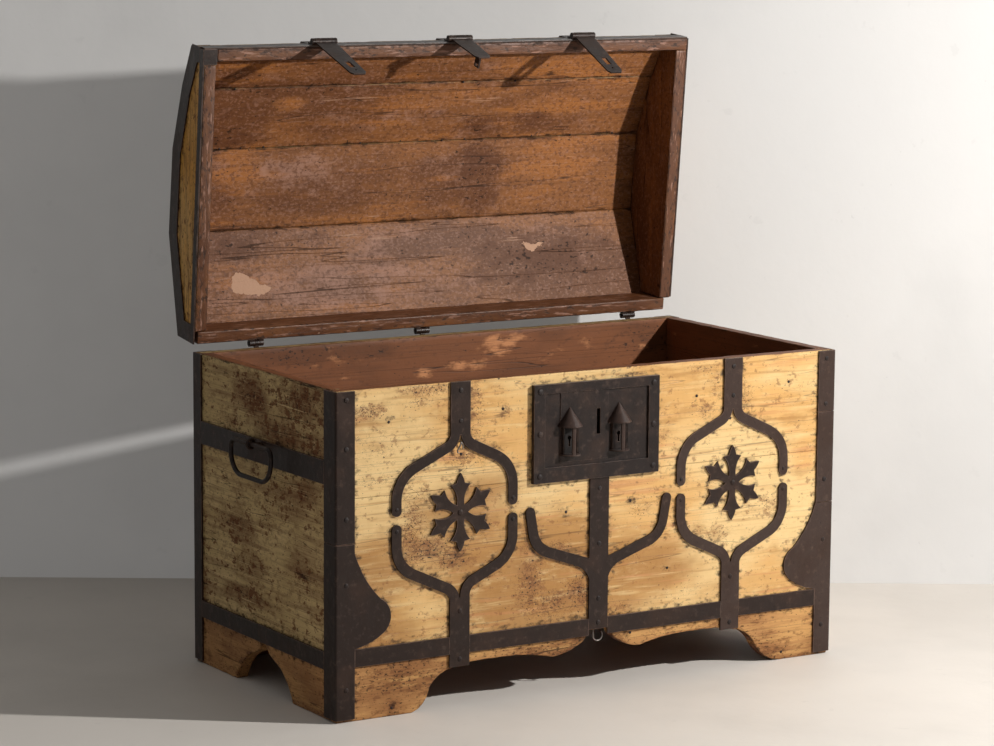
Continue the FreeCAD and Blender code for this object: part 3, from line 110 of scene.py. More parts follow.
class PaintSettings(bpy.types.PropertyGroup):
    front_gold: colour("Front gold", "Paint on the front boards where it has yellowed", "#DCAD6C")
    front_cream: colour("Front cream", "Paint on the front boards where it is palest", "#EACF98")
    front_amber: colour("Front amber", "Paint on the front boards where the wax has darkened it", "#A6763F")
    front_blush: colour("Front blush", "Pinkish wood that shows along the grain of the front", "#C98A5C")
    end_olive: colour("End olive", "Paint on the ends of the case", "#C8AC77")
    end_brown: colour("End brown", "Brown wood that shows on the ends of the case", "#6E4426")
    apron_tan: colour("Apron tan", "Paint on the plinth and feet", "#B98956")
    apron_brown: colour("Apron brown", "Worn wood on the plinth and feet", "#865733")
    lid_mustard: colour("Lid mustard", "Paint on the ends of the lid", "#D89E45")
    outer_paint: colour("Outer paint", "Paint on the back of the case and the top of the lid", "#9C8458")
    varnish: colour("Varnish", "Varnished pine inside the lid", "#875731")
    varnish_dark: colour("Dark varnish", "Varnished pine inside the lid where it is darkest", "#5A3620")
    varnish_orange: colour("Orange varnish", "Varnished pine inside the lid where it glows", "#A86A33")
    # Cloudy varnish, which inside the lid and on the rims is also painted sheen.
    varnish_bloom_and_sheen: colour("Varnish bloom", "Crazed varnish where it has gone cloudy", "#A67E6C")
    bare_pine: colour("Bare pine", "Old unpainted pine inside the case", "#7A4A2C")
    fresh_pine: colour("Fresh pine", "Pine where the finish has come off in flakes", "#BB947A")
    grime: colour("Grime", "Dirt in cracks, specks and beside the iron", "#2A190E")
    wear_depth: length("Wear depth", "Depth of the dents along the edges of the boards", 1.3 * MM)
    grid: length("Grid", "Spacing of the points over the boards", 10 * MM)


class IronSettings(bpy.types.PropertyGroup):
    strap: colour("Strap iron", "Blackened iron of the straps", "#241712")
    # A paler copy of the strap iron for the irons nearest the lamp: painted light, not wear.
    lamplit_strap: colour("Polished strap", "Iron of the straps at the right, worn paler", "#3B2C26")
    rubbed: colour("Rubbed iron", "Iron where it is rubbed", "#7A6256")
    lock: colour("Lock iron", "Blackened iron of the lock", "#201715")
    rust: colour("Rust", "Dry rust on the iron", "#35231A")
    # Black flecks on the iron, and also the painted shade inside the keyhole hoods.
    soot_and_shade: colour("Soot", "Black grease where no hand reaches", "#0D0807")
    steel: colour("Worn steel", "Steel rubbed bare on the lock case and bolt", "#8A8580")
    bevel: length("Edge", "Width of the hammered edge of the iron", 0.9 * MM)
    waver: length("Waver", "How far the outline of a strap wavers", 0.7 * MM)
    split: length("Split", "Longest straight stretch of a strap's outline", 14 * MM)


class NailSettings(bpy.types.PropertyGroup):
    rise: FloatProperty(name="Rise", description="Height of a nail head as a share of its width",
                        default=0.17, min=0.05, max=1, subtype="FACTOR")
    uneven: FloatProperty(name="Uneven", description="How uneven the hammered heads are", default=0.2,
                          min=0, max=1, subtype="FACTOR")
    seed: IntProperty(name="Seed", description="Seed of the heads' turns and sizes", default=11, min=0)


class StageSettings(bpy.types.PropertyGroup):
    floor: colour("Floor", "Pale painted floor", "#DDD7D0")
    wall: colour("Wall", "Pale plastered wall", "#D3D2D1")
    wall_distance: length("Wall distance", "From the camera to the wall, along the floor", 6.93)
    key: FloatProperty(name="Key light", description="Strength of the small lamp at the front right",
                       default=98.0, min=0, unit="POWER")
    key_radius: length("Key radius", "Radius of the lamp, which sets how soft its shadows are", 0.035)
    fill: FloatProperty(name="Fill light", description="Strength of the soft light from overhead",
                        default=0.31, min=0)
    low_fill: FloatProperty(name="Low fill light", description="Strength of the soft light from the horizon",
                            default=0.08, min=0)


# ---------------------------------------------------------------- finishes

def fill(tree, node, links):
    """Fills a node's inputs, by name or number, with values or with other nodes' results."""
    for key, value in links.items():
        named = [s for s in node.inputs if s.enabled and s.name == key]
        socket = node.inputs[key] if isinstance(key, int) else named[0]
        if isinstance(value, bpy.types.Node):
            value = next(s for s in value.outputs if s.enabled)
        if isinstance(value, bpy.types.NodeSocket):
            tree.links.new(value, socket)
        else:
            socket.default_value = value
    return node


def add(tree, kind, links=None, **settings):
    """Adds a node with its settings and what its inputs take."""
    node = tree.nodes.new(kind)
    for key, value in settings.items():
        setattr(node, key, value)
    return fill(tree, node, links or {})


class Coat(NamedTuple):
    """One layer of a finish. It shows where a pattern of patches rises past a level."""
    run: float             # length of the patches along the grain, in mm
    across: float          # their width across the grain, in mm
    start: float           # level of the pattern at which the layer begins to show
    full: float            # level at which it shows fully
    cover: float           # share of what lies under it that it hides there
    tint: tuple
    rough: float = 0.0     # what it adds to the roughness
    rise: float = 0.0      # how far it stands over the layer below, in mm
    lines: bool = False    # thin wandering lines in place of patches
    detail: float = 4.0    # how finely the pattern breaks up
    marks: tuple = ()      # (mark, share) pairs, where a strong mark brings the layer out


def coat(*sizes, **marks):
    """A coat from its figures in the order above, and the share of each mark that brings it out."""
    return Coat(*sizes, marks=tuple(marks.items()))


def rgba(value):
    return (value[0], value[1], value[2], 1.0)


def coated(name, base, coats, grain="X", rough=0.5, metal=0.0, seed=0.0, relief=(), wet=0.5):
    """A material of a base colour and the coats over it, each with its own pattern in real millimetres."""
    material = bpy.data.materials.new(name)
    material.use_nodes = True
    tree = material.node_tree
    where = add(tree, "ShaderNodeTexCoord").outputs["Object"]
    tint, dull, height = rgba(base), rough, 0.0
    for number, layer in enumerate(coats):
        scale = tuple(1000 / (layer.run if axis == grain else layer.across) for axis in "XYZ")
        place = (seed + 3.1 * number, 5.7 * number - seed, 2.3 * number)
        spot = add(tree, "ShaderNodeMapping", {"Vector": where, "Location": place, "Scale": scale})
        level = add(tree, "ShaderNodeTexNoise", {"Vector": spot, "Scale": 1.0, "Detail": layer.detail,
                                                 "Roughness": 0.6})
        if layer.lines:
            level = add(tree, "ShaderNodeMath", {0: level, 1: 0.5}, operation="SUBTRACT")
            level = add(tree, "ShaderNodeMath", {0: level}, operation="ABSOLUTE")
            level = add(tree, "ShaderNodeMath", {0: 1.0, 1: level}, operation="SUBTRACT")
        for mark, share in layer.marks:
            value = add(tree, "ShaderNodeAttribute", attribute_name=mark).outputs["Fac"]
            level = add(tree, "ShaderNodeMath", {0: value, 1: share, 2: level}, operation="MULTIPLY_ADD")
        reach = {"Value": level, "From Min": layer.start, "From Max": layer.full, "To Max": layer.cover}
        shown = add(tree, "ShaderNodeMapRange", reach, interpolation_type="SMOOTHSTEP")
        over = {"Factor": shown, "A": tint, "B": rgba(layer.tint)}
        tint = add(tree, "ShaderNodeMix", over, data_type="RGBA")
        if layer.rough:
            dull = add(tree, "ShaderNodeMath", {0: shown, 1: layer.rough, 2: dull}, operation="MULTIPLY_ADD")
        if layer.rise:
            rise = {0: shown, 1: layer.rise, 2: height}
            height = add(tree, "ShaderNodeMath", rise, operation="MULTIPLY_ADD")
    for number, (run, across, depth) in enumerate(relief):
        scale = tuple(1000 / (run if axis == grain else across) for axis in "XYZ")
        spot = add(tree, "ShaderNodeMapping", {"Vector": where, "Location": (seed, 9.0 * number, 4.0),
                                               "Scale": scale})
        level = add(tree, "ShaderNodeTexNoise", {"Vector": spot, "Scale": 1.0, "Detail": 3.0})
        height = add(tree, "ShaderNodeMath", {0: level, 1: depth, 2: height}, operation="MULTIPLY_ADD")
    bump = add(tree, "ShaderNodeBump", {"Height": height, "Distance": MM})
    fill(tree, tree.nodes["Principled BSDF"], {"Base Color": tint, "Roughness": dull, "Normal": bump,
                                               "Metallic": metal, "Specular IOR Level": wet})
    return material


def finish(name):
    """The named material, made the first time that it is asked for."""
    if name in bpy.data.materials:
        return bpy.data.materials[name]
    p, i = bpy.context.scene.coffer_paint, bpy.context.scene.coffer_iron
    wood, along_end = name.removesuffix("_ends"), name.endswith("_ends")
    # Hairline cracks along the grain and grime against the iron are the same on every board. The finest lines
    # are drawn 2 to 3 mm wide, coarser than the real ones, so that they show.
    crack = coat(1100, 30, 0.9955, 0.9995, 0.7, p.grime, 0.2, -0.3, True, 1.5, dark=0.004)
    beside_iron = coat(15, 10, 0.88, 1.12, 0.9, p.grime, 0.25, iron=0.47)
    chipped = coat(11, 11, 0.49, 0.51, 1.0, p.fresh_pine, 0.2, -0.5, chip=0.5)
    if name == "oil_painted_pine_front":
        # Oil paint brushed on pine and yellowed under wax: a warm gold with cream strokes and pink wood
        # showing in long streaks, freckled with dirt, and glossy enough to catch the lamp.
        return coated(name, p.front_gold, (
            # At the pale marks on the right half this cream is partly a painted highlight where the lamp's
            # sheen falls.
            coat(300, 120, 0.4, 0.66, 0.65, p.front_cream, pale=0.24, warm=-0.25),
            coat(280, 90, 0.48, 0.86, 0.85, p.front_amber, amber=0.44, pale=-0.1),
            coat(70, 34, 0.54, 0.72, 0.45, p.front_amber, 0.05, dark=0.1, pale=-0.05),
            coat(52, 20, 0.56, 0.74, 0.45, p.front_cream, 0.0, 0.03),
            coat(240, 15, 0.53, 0.68, 0.45, p.front_cream, 0.0, 0.05),
            coat(200, 9, 0.52, 0.68, 0.45, p.front_amber),
            coat(260, 13, 0.56, 0.7, 0.5, p.front_blush, 0.05, warm=0.2, pale=-0.1),
            coat(110, 2.6, 0.52, 0.74, 0.3, p.front_blush, 0.0, -0.06),
            coat(80, 46, 0.62, 1.0, 0.55, p.apron_brown, 0.1, dark=0.42),
            coat(15, 11, 0.58, 0.7, 0.6, p.apron_brown, 0.1, -0.05, dark=0.13),
            coat(17, 13, 0.999, 1.012, 0.75, p.end_brown, 0.1, -0.08, True, dark=0.034),
            coat(6, 4.5, 0.655, 0.69, 0.95, p.grime, 0.15, -0.08, dark=0.11),
            coat(34, 12, 0.82, 0.98, 0.75, p.apron_brown, 0.15, -0.1, edge=0.32),
            coat(10, 6, 0.88, 0.96, 0.85, p.grime, 0.15, -0.1, edge=0.33),
            crack._replace(cover=0.45), beside_iron), rough=0.3, seed=1.0,
            relief=((45, 80, 2.0), (26, 60, 0.5), (90, 4, 0.12)), wet=0.38)
    if name in ("oil_painted_pine_ends", "oil_painted_pine_outer", "oil_painted_pine_lid_end"):
        # The same paint gone olive with age, scuffed in ragged scales down to brown wood.
        base, grain = {"oil_painted_pine_ends": (p.end_olive, "Y"),
                       "oil_painted_pine_outer": (p.outer_paint, "X"),
                       "oil_painted_pine_lid_end": (p.lid_mustard, "Z")}[name]
        return coated(name, base, (
            coat(260, 110, 0.42, 0.66, 0.35, p.front_cream, pale=0.2, dark=-0.3),
            coat(220, 90, 0.46, 0.88, 0.8, p.end_brown, 0.1, dark=0.34, pale=-0.15),
            coat(70, 24, 0.56, 0.74, 0.4, p.front_cream, pale=0.1),
            coat(20, 12, 0.585, 0.65, 0.9, p.end_brown, 0.1, -0.1, dark=0.13),
            coat(11, 7, 0.66, 0.71, 0.5, p.front_cream, dark=0.05),
            coat(200, 12, 0.46, 0.68, 0.5, p.end_brown),
            coat(15, 9, 0.5, 0.66, 0.45, p.end_brown, 0.1, -0.12, dark=0.05, edge=0.1),
            coat(90, 2.6, 0.5, 0.72, 0.45, p.end_brown, 0.0, -0.06),
            coat(150, 2.6, 0.62, 0.7, 0.65, p.front_cream, 0.0, -0.1, pale=0.08),
            coat(60, 6, 0.88, 0.96, 0.9, p.grime, 0.1, -0.2, edge=0.42),
            coat(8, 4.5, 0.6, 0.7, 0.8, p.grime, 0.1, -0.1, dark=0.08),
            crack, beside_iron), grain, seed=30.0 + len(name),
            relief=((30, 50, 0.8), (80, 4, 0.15)), wet=0.22)
    if wood == "thin_painted_pine_plinth":
        # Thin tan paint scuffed by feet and brooms, so that the brown wood shows through all over.
        return coated(name, p.apron_tan, (
            coat(160, 50, 0.42, 0.7, 0.7, p.apron_brown, dark=0.3, pale=-0.3),
            coat(150, 12, 0.52, 0.68, 0.45, p.front_gold, 0.0, 0.05, pale=0.2),
            coat(20, 8, 0.54, 0.68, 0.6, p.end_brown, 0.1, -0.12, dark=0.12, edge=0.1),
            coat(90, 2.6, 0.5, 0.72, 0.4, p.end_brown, 0.0, -0.06),
            coat(8, 4, 0.6, 0.68, 0.85, p.grime, 0.1, -0.1, dark=0.1, edge=0.06),
            coat(14, 14, 0.93, 1.02, 0.9, p.varnish_dark, knot=0.55),
            crack, beside_iron), "Y" if along_end else "X", seed=60.0,
            relief=((26, 40, 0.9), (70, 4, 0.15)), wet=0.22)
    if wood == "shellacked_pine":
        # Shellac on planed pine: reddish brown with an orange glow, crazed and rippled by the plane, so
        # that the lamp breaks up into a whitish sheen, which the pale bloom at the lid's sheen marks also
        # paints in as colour.
        return coated(name, p.varnish, (
            coat(330, 100, 0.42, 0.62, 0.7, p.varnish_dark, dark=0.3, warm=-0.3),
            coat(260, 26, 0.5, 0.66, 0.55, p.varnish_orange, warm=0.25, dark=-0.2),
            coat(190, 3.0, 0.5, 0.7, 0.35, p.varnish_dark, 0.0, -0.06),
            # Painted sheen: the whitish bloom at the lid's marks and the fine pale flecks stand for the
            # lamp's glints on the crazed varnish.
            coat(60, 30, 0.56, 0.8, 0.5, p.varnish_bloom_and_sheen, 0.05, amber=0.2),
            coat(7, 5, 0.5, 0.64, 0.34, p.varnish_bloom_and_sheen, 0.0, 0.05, amber=0.05),
            coat(9, 6, 0.52, 0.62, 0.6, p.varnish_dark, 0.0, -0.1, dark=0.06),
            coat(60, 14, 0.74, 0.96, 0.75, p.varnish_dark, 0.1, edge=0.34, dark=0.1),
            coat(90, 3.0, 0.66, 0.72, 0.55, p.fresh_pine, 0.1, -0.05, pale=0.16),
            coat(46, 26, 0.64, 0.84, 0.7, p.varnish_dark, 0.05, dark=0.32),
            coat(12, 7, 0.655, 0.71, 0.85, p.grime, 0.1, -0.08, dark=0.1, edge=0.05),
            coat(26, 9, 0.8, 1.0, 0.85, p.grime, 0.2, -0.1, edge=0.42),
            crack, beside_iron, chipped), "Z" if along_end else "X", seed=110.0,
            relief=((34, 60, 0.9), (6, 6, 0.45)), wet=0.16)
    if wood == "flaking_shellacked_pine":
        # Shellac on the rims, gone nearly black and flaking, with pale crumbs that catch the lamp.
        return coated(name, p.varnish_dark, (
            coat(160, 30, 0.46, 0.68, 0.45, p.varnish),
            # Pale streaks of bloom, partly painted sheen on the rims.
            coat(40, 6, 0.56, 0.66, 0.6, p.varnish_bloom_and_sheen, 0.0, 0.06),
            coat(16, 7, 0.58, 0.68, 0.75, p.grime, 0.1, -0.15, edge=0.06),
            coat(14, 4, 0.7, 0.74, 0.8, p.fresh_pine, 0.1, 0.05),
            crack, beside_iron), "Z" if along_end else "X", rough=0.45, seed=130.0,
            relief=((30, 12, 1.0), (6, 5, 0.4)), wet=0.3)
    if wood == "old_bare_pine":
        # Unpainted pine darkened by handling: reddish brown and dull, with paler worn patches.
        return coated(name, p.bare_pine, (
            coat(300, 90, 0.44, 0.62, 0.6, p.varnish_dark, dark=0.3, warm=-0.3),
            coat(70, 30, 0.6, 0.78, 0.85, p.front_blush, -0.05, warm=0.3),
            coat(180, 3.2, 0.5, 0.7, 0.5, p.varnish_dark, 0.0, -0.06),
            coat(24, 12, 0.6, 0.7, 0.6, p.varnish_dark, 0.05, -0.05, dark=0.15),
            coat(9, 5, 0.64, 0.71, 0.85, p.grime, 0.1, -0.08, dark=0.14),
            coat(26, 9, 0.88, 1.04, 0.8, p.grime, 0.2, -0.1, edge=0.4),
            crack, beside_iron), "Y" if along_end else "X", seed=150.0,
            relief=((30, 55, 0.8), (6, 5, 0.15)), wet=0.25)
    # Wrought iron hammered flat and blackened with oil: a purplish black with a dull sheen, brown with dry
    # rust in patches, dimpled by the hammer, and rubbed lighter along its edges.
    # The lamplit strap iron is the strap iron made paler where the lamp falls nearest: a painted highlight.
    base, metal, rough = {
        "forged_strap_iron": (i.strap, 0.0, 0.36), "rubbed_strap_iron": (i.lamplit_strap, 0.0, 0.36),
        "forged_lock_iron": (i.lock, 0.0, 0.36), "forged_hasp_iron": (i.strap, 0.1, 0.42),
        "forged_handle_iron": (i.lock, 0.1, 0.4), "rusted_nail_iron": (i.lock, 0.0, 0.55),
        "rubbed_steel": (i.steel, 0.8, 0.4)}[name]
    light = i.steel if name == "rubbed_steel" else i.rubbed
    return coated(name, base, (
        coat(70, 70, 0.46, 0.66, 0.7, i.rust, 0.1),
        coat(14, 14, 0.52, 0.74, 0.2, light, -0.04, 0.05),
        coat(5, 5, 0.6, 0.7, 0.6, i.soot_and_shade, 0.1, -0.08),
        # At the dark marks this coat paints black shade into the keyhole hoods.
        coat(12, 12, 0.75, 0.95, 0.9, i.soot_and_shade, 0.2, dark=0.6),
        coat(20, 20, 0.76, 1.0, 0.6, light, -0.05, edge=0.42)), "X", rough, metal, 200.0,
        ((24, 24, 0.9), (6, 6, 0.16)), 0.3)


# ---------------------------------------------------------------- meshes

def merged(node):
    """A copy of a CAD node's mesh with its triangles joined."""
    bm = bmesh.new()
    bm.from_mesh(frame["nodes"][node].data)
    bmesh.ops.remove_doubles(bm, verts=bm.verts, dist=MERGE)
    return bm


def whole(node):
    """The same with its flat faces in one piece each."""
    bm = merged(node)
    bmesh.ops.dissolve_limit(bm, angle_limit=FLAT, verts=bm.verts, edges=bm.edges)
    return bm


def built(holder):
    """The mesh that a helper object's modifiers or curve make, in place of the object."""
    graph = bpy.context.evaluated_depsgraph_get()
    mesh = bpy.data.meshes.new_from_object(holder.evaluated_get(graph))
    source = holder.data
    bpy.data.objects.remove(holder)
    (bpy.data.curves if isinstance(source, bpy.types.Curve) else bpy.data.meshes).remove(source)
    bm = bmesh.new()
    bm.from_mesh(mesh)
    bpy.data.meshes.remove(mesh)
    return bm


def linked(name, data):
    """A new object in the scene."""
    thing = bpy.data.objects.new(name, data)
    bpy.context.scene.collection.objects.link(thing)
    return thing


def sharp_edges(bm):
    return [e for e in bm.edges if len(e.link_faces) == 2 and e.calc_face_angle(0) > SHARP]


def edge_points(bm, quiet=()):
    """Points every few millimetres along the sharp edges, to measure wear from. Edges at a quiet height
    are left out, because the paint runs over that seam."""
    spots = []
    for e in sharp_edges(bm):
        a, b = e.verts[0].co, e.verts[1].co
        if any(abs(a.z - z) < 2 * MM and abs(b.z - z) < 2 * MM for z in quiet):
            continue
        count = max(1, int((b - a).length / (3 * MM)))
        spots += [a.lerp(b, i / count) for i in range(count + 1)]
    tree = kdtree.KDTree(len(spots))
    for i, spot in enumerate(spots):
        tree.insert(spot, i)
    tree.balance()
    return tree


def cut_grid(bm, step):
    """Cuts the mesh on evenly spaced planes, so that it can bend and carry marks."""
    for axis in range(3):
        places = [v.co[axis] for v in bm.verts]
        low, high = min(places), max(places)
        count = int((high - low) / step)
        normal = Vector([1.0 if i == axis else 0.0 for i in range(3)])
        for i in range(1, count + 1):
            here = normal * (low + (high - low) * i / (count + 1))
            geometry = bm.verts[:] + bm.edges[:] + bm.faces[:]
            bmesh.ops.bisect_plane(bm, geom=geometry, dist=1e-6, plane_co=here, plane_no=normal)


def iron_tree(names):
    """A search tree over the triangles of the named CAD nodes."""
    points, faces = [], []
    for name in names:
        mesh = frame["nodes"][name].data
        start = len(points)
        points += [v.co.copy() for v in mesh.vertices]
        faces += [[start + i for i in p.vertices] for p in mesh.polygons]
    return BVHTree.FromPolygons(points, faces)


def put_object(name, bm, materials, body, replaced=(), smooth=SHARP):
    """Makes the finished piece, held within the CAD model's box, with normals that keep its large faces
    flat."""
    for v in bm.verts:
        v.co = inside(v.co)
    mesh = bpy.data.meshes.new(name)
    bm.to_mesh(mesh)
    bm.free()
    for polygon in mesh.polygons:
        polygon.use_smooth = True
    mesh.set_sharp_from_angle(angle=smooth)
    for material in materials:
        mesh.materials.append(material)
    piece = linked(name, mesh)
    weighted = piece.modifiers.new("flat faces", "WEIGHTED_NORMAL")
    weighted.keep_sharp = True
    graph = bpy.context.evaluated_depsgraph_get()
    plain = bpy.data.meshes.new_from_object(piece.evaluated_get(graph))
    piece.modifiers.clear()
    piece.data = plain
    bpy.data.meshes.remove(mesh)
    plain.name = name
    if replaced:
        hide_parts(*replaced)
    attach(piece, body)
    return piece


def body_of(node):
    for body, members in frame["record"]["behaviour"]["bodies"].items():
        if node in members:
            return body
    raise ValueError("no body holds " + node)


def inside(place):
    """A point held within the box of the CAD model."""
    low, high = CAD_BOX
    return Vector([min(max(place[i], low[i]), high[i]) for i in range(3)])


def mark_strength(spots, place):
    """The strongest of the soft round marks at a place. A mark is a centre, a reach and a strength."""
    best = 0.0
    for centre, reach, strength in spots:
        away = sum(((place[i] - centre[i]) / reach[i]) ** 2 for i in range(3))
        if away < 1:
            best = max(best, strength * (1 - away) ** 1.5)
    return best


def chip_level(chips, place):
    """How deep a place lies inside the nearest chip, as a share of the reach, and negative outside."""
    best = -1.0
    for corners in chips:
        normal = (corners[1] - corners[0]).cross(corners[2] - corners[0]).normalized()
        if abs((place - corners[0]).dot(normal)) > CHIP_DEPTH:
            continue
        within, nearest = True, 1.0
        for a, b in zip(corners, corners[1:] + corners[:1]):
            within = within and (b - a).cross(place - a).dot(normal) > 0
            t = max(0.0, min(1.0, (place - a).dot(b - a) / (b - a).length_squared))
            nearest = min(nearest, (place - a.lerp(b, t)).length)
        share = min(1.0, nearest / CHIP_REACH)
        best = max(best, share if within else -share)
    return best


def board(node, outer, irons, inner=None, hollow=None, marks=None, chips=(), bevel=1.2 * MM,
          warp=0.35 * MM, seed=0.0, grid=None, quiet=(), rim=None, rim_finish=None):
    """Replaces a CAD board by one with rubbed edges and dents and the marks that its finish reads.
    Faces that look towards the hollow point get the inner finish, and those that look the rim's way the
    rim's finish."""
    paint = bpy.context.scene.coffer_paint
    marks = marks or {}
    bm = whole(node)
    edges = edge_points(bm, quiet)
    bmesh.ops.bevel(bm, geom=sharp_edges(bm), offset=bevel, segments=2, affect="EDGES", clamp_overlap=True)
    cut_grid(bm, grid or paint.grid)
    bm.normal_update()
    layers = {key: bm.verts.layers.float.new(key) for key in ("iron", "edge", "chip", *SOFT_MARKS)}
    moved = []
    for v in bm.verts:
        place = v.co.copy()
        near = edges.find(place)[2]
        hit = irons.find_nearest(place, IRON_REACH)
        gap = hit[3] if hit[0] is not None else IRON_REACH
        v[layers["iron"]] = 1 - gap / IRON_REACH
        v[layers["edge"]] = max(0.0, 1 - near / EDGE_REACH)
        for key in SOFT_MARKS:
            v[layers[key]] = mark_strength(marks.get(key, ()), place)
        v[layers["chip"]] = chip_level(chips, place)
        wave = 0.5 + 0.5 * noise.noise(place * WARP + Vector((seed, 0, 0)))
        dent = max(0.0, noise.noise(place * DENTS + Vector((0, seed, 0))))
        rubbed = max(0.0, 1 - near / DENT_REACH)
        free = 1.0 if gap > IRON_HOLD else 0.25
        moved.append(place - v.normal * free * (warp * wave + paint.wear_depth * dent * rubbed))
    if inner:
        for f in bm.faces:
            towards = (hollow - f.calc_center_median()).normalized()
            f.material_index = 1 if f.normal.dot(towards) > 0.35 else 0
            if rim and f.normal.dot(rim) > 0.5:
                f.material_index = 2
    for v, place in zip(bm.verts, moved):
        v.co = place
    finishes = [material for material in (outer, inner, rim_finish) if material]
    return put_object(node + "_wood", bm, finishes, body_of(node), [node])


def ironwork(node, material, waver=None, bevel=None, dark=()):
    """Replaces a CAD iron by one with a hammered edge and an outline that wavers as a hand-cut one does,
    blackened at the dark marks, which paint shade into the keyhole hoods."""
    iron = bpy.context.scene.coffer_iron
    waver = iron.waver if waver is None else waver
    bevel = iron.bevel if bevel is None else bevel
    bm = whole(node)
    if waver:
        for e in sorted(bm.edges, key=lambda edge: -edge.calc_length()):
            if e.is_valid and e.calc_length() > iron.split:
                bmesh.ops.subdivide_edges(bm, edges=[e], cuts=int(e.calc_length() / iron.split))
        moved = []
        for v in bm.verts:
            shift = noise.noise_vector(v.co * WAVER) * waver
            for f in v.link_faces:
                if f.calc_area() > BIG_FACE:
                    shift -= f.normal * shift.dot(f.normal)
            moved.append(inside(v.co + shift))
        for v, place in zip(bm.verts, moved):
            v.co = place
    worn = bm.faces.layers.float.new("edge")
    made = bmesh.ops.bevel(bm, geom=sharp_edges(bm), offset=bevel, segments=2, affect="EDGES",
                           clamp_overlap=True, profile=0.6)
    for f in made["faces"]:
        f[worn] = 1.0
    if dark:
        cut_grid(bm, 5 * MM)
        shade_marks = bm.verts.layers.float.new("dark")
        for v in bm.verts:
            v[shade_marks] = mark_strength(dark, v.co)
    return put_object(node + "_forged", bm, [material], body_of(node), [node])


def wires(node, paths, radius, material):
    """Replaces a CAD wire by round wires that follow the paths."""
    curve = bpy.data.curves.new(node, "CURVE")
    curve.dimensions = "3D"
    curve.bevel_depth = radius
    curve.bevel_resolution = 3
    curve.use_fill_caps = True
    for path in paths:
        spline = curve.splines.new("POLY")
        spline.points.add(len(path) - 1)
        for point, place in zip(spline.points, path):
            point.co = (*place, 1.0)
    bm = built(linked(node, curve))
    return put_object(node + "_wire", bm, [material], body_of(node), [node], ROUND)


def islands(node):
    """The lowest and highest corner of each separate lump in a CAD node."""
    bm = merged(node)
    found, left = [], set(bm.verts)
    while left:
        stack, lump = [left.pop()], []
        while stack:
            v = stack.pop()
            lump.append(v.co.copy())
            for e in v.link_edges:
                other = e.other_vert(v)
                if other in left:
                    left.discard(other)
                    stack.append(other)
        found.append(tuple(Vector([pick(co[i] for co in lump) for i in range(3)]) for pick in (min, max)))
    bm.free()
    return sorted(found, key=lambda pair: tuple(pair[0]))


# ---------------------------------------------------------------- nails by Geometry Nodes

def nail_tree(material):
    """Geometry nodes that set an uneven forged head on each point, facing the way the point says."""
    tree = bpy.data.node_groups.new("forged_nail_heads", "GeometryNodeTree")
    face = tree.interface
    face.new_socket(name="Geometry", in_out="OUTPUT", socket_type="NodeSocketGeometry")
    face.new_socket(name="Points", in_out="INPUT", socket_type="NodeSocketGeometry")
    for name in ("Width", "Rise", "Uneven"):
        face.new_socket(name=name, in_out="INPUT", socket_type="NodeSocketFloat")
    face.new_socket(name="Seed", in_out="INPUT", socket_type="NodeSocketInt")
    start = add(tree, "NodeGroupInput")
    width, rise, uneven, seed = (start.outputs[name] for name in ("Width", "Rise", "Uneven", "Seed"))
    ball = add(tree, "GeometryNodeMeshIcoSphere", {"Radius": 0.5, "Subdivisions": 3})
    place = add(tree, "GeometryNodeInputPosition")
    bumps = add(tree, "ShaderNodeTexNoise", {"Vector": place, "Scale": 2.6, "Detail": 2.0}).outputs["Color"]
    centred = add(tree, "ShaderNodeVectorMath", {0: bumps, 1: (0.5, 0.5, 0.5)}, operation="SUBTRACT")
    pushed = add(tree, "ShaderNodeVectorMath", {0: centred, "Scale": uneven}, operation="SCALE")
    head = add(tree, "GeometryNodeSetPosition", {"Geometry": ball, "Offset": pushed})
    low = add(tree, "ShaderNodeMath", {0: width, 1: rise}, operation="MULTIPLY")
    tall = add(tree, "ShaderNodeMath", {0: low, 1: 2.0}, operation="MULTIPLY")
    size = add(tree, "ShaderNodeCombineXYZ", {"X": width, "Y": width, "Z": tall})
    facing = add(tree, "GeometryNodeInputNamedAttribute", {"Name": "facing"}, data_type="FLOAT_VECTOR")
    turned = add(tree, "FunctionNodeAlignRotationToVector", {"Vector": facing}, axis="Z")
    spin = add(tree, "FunctionNodeRandomValue", {"Min": 0.0, "Max": 6.28, "Seed": seed}, data_type="FLOAT")
    about = add(tree, "FunctionNodeAxisAngleToRotation", {"Axis": (0, 0, 1), "Angle": spin})
    both = add(tree, "FunctionNodeRotateRotation", {"Rotation": turned, "Rotate By": about},
               rotation_space="LOCAL")
    scatter = add(tree, "FunctionNodeRandomValue", {"Min": 0.85, "Max": 1.0, "Seed": seed}, data_type="FLOAT")
    each = add(tree, "ShaderNodeVectorMath", {0: size, "Scale": scatter}, operation="SCALE")
    many = add(tree, "GeometryNodeInstanceOnPoints", {"Points": start.outputs["Points"], "Instance": head,
                                                      "Rotation": both, "Scale": each})
    solid = add(tree, "GeometryNodeRealizeInstances", {"Geometry": many})
    dressed = add(tree, "GeometryNodeSetMaterial", {"Geometry": solid, "Material": material})
    add(tree, "NodeGroupOutput", {0: dressed})
    return tree


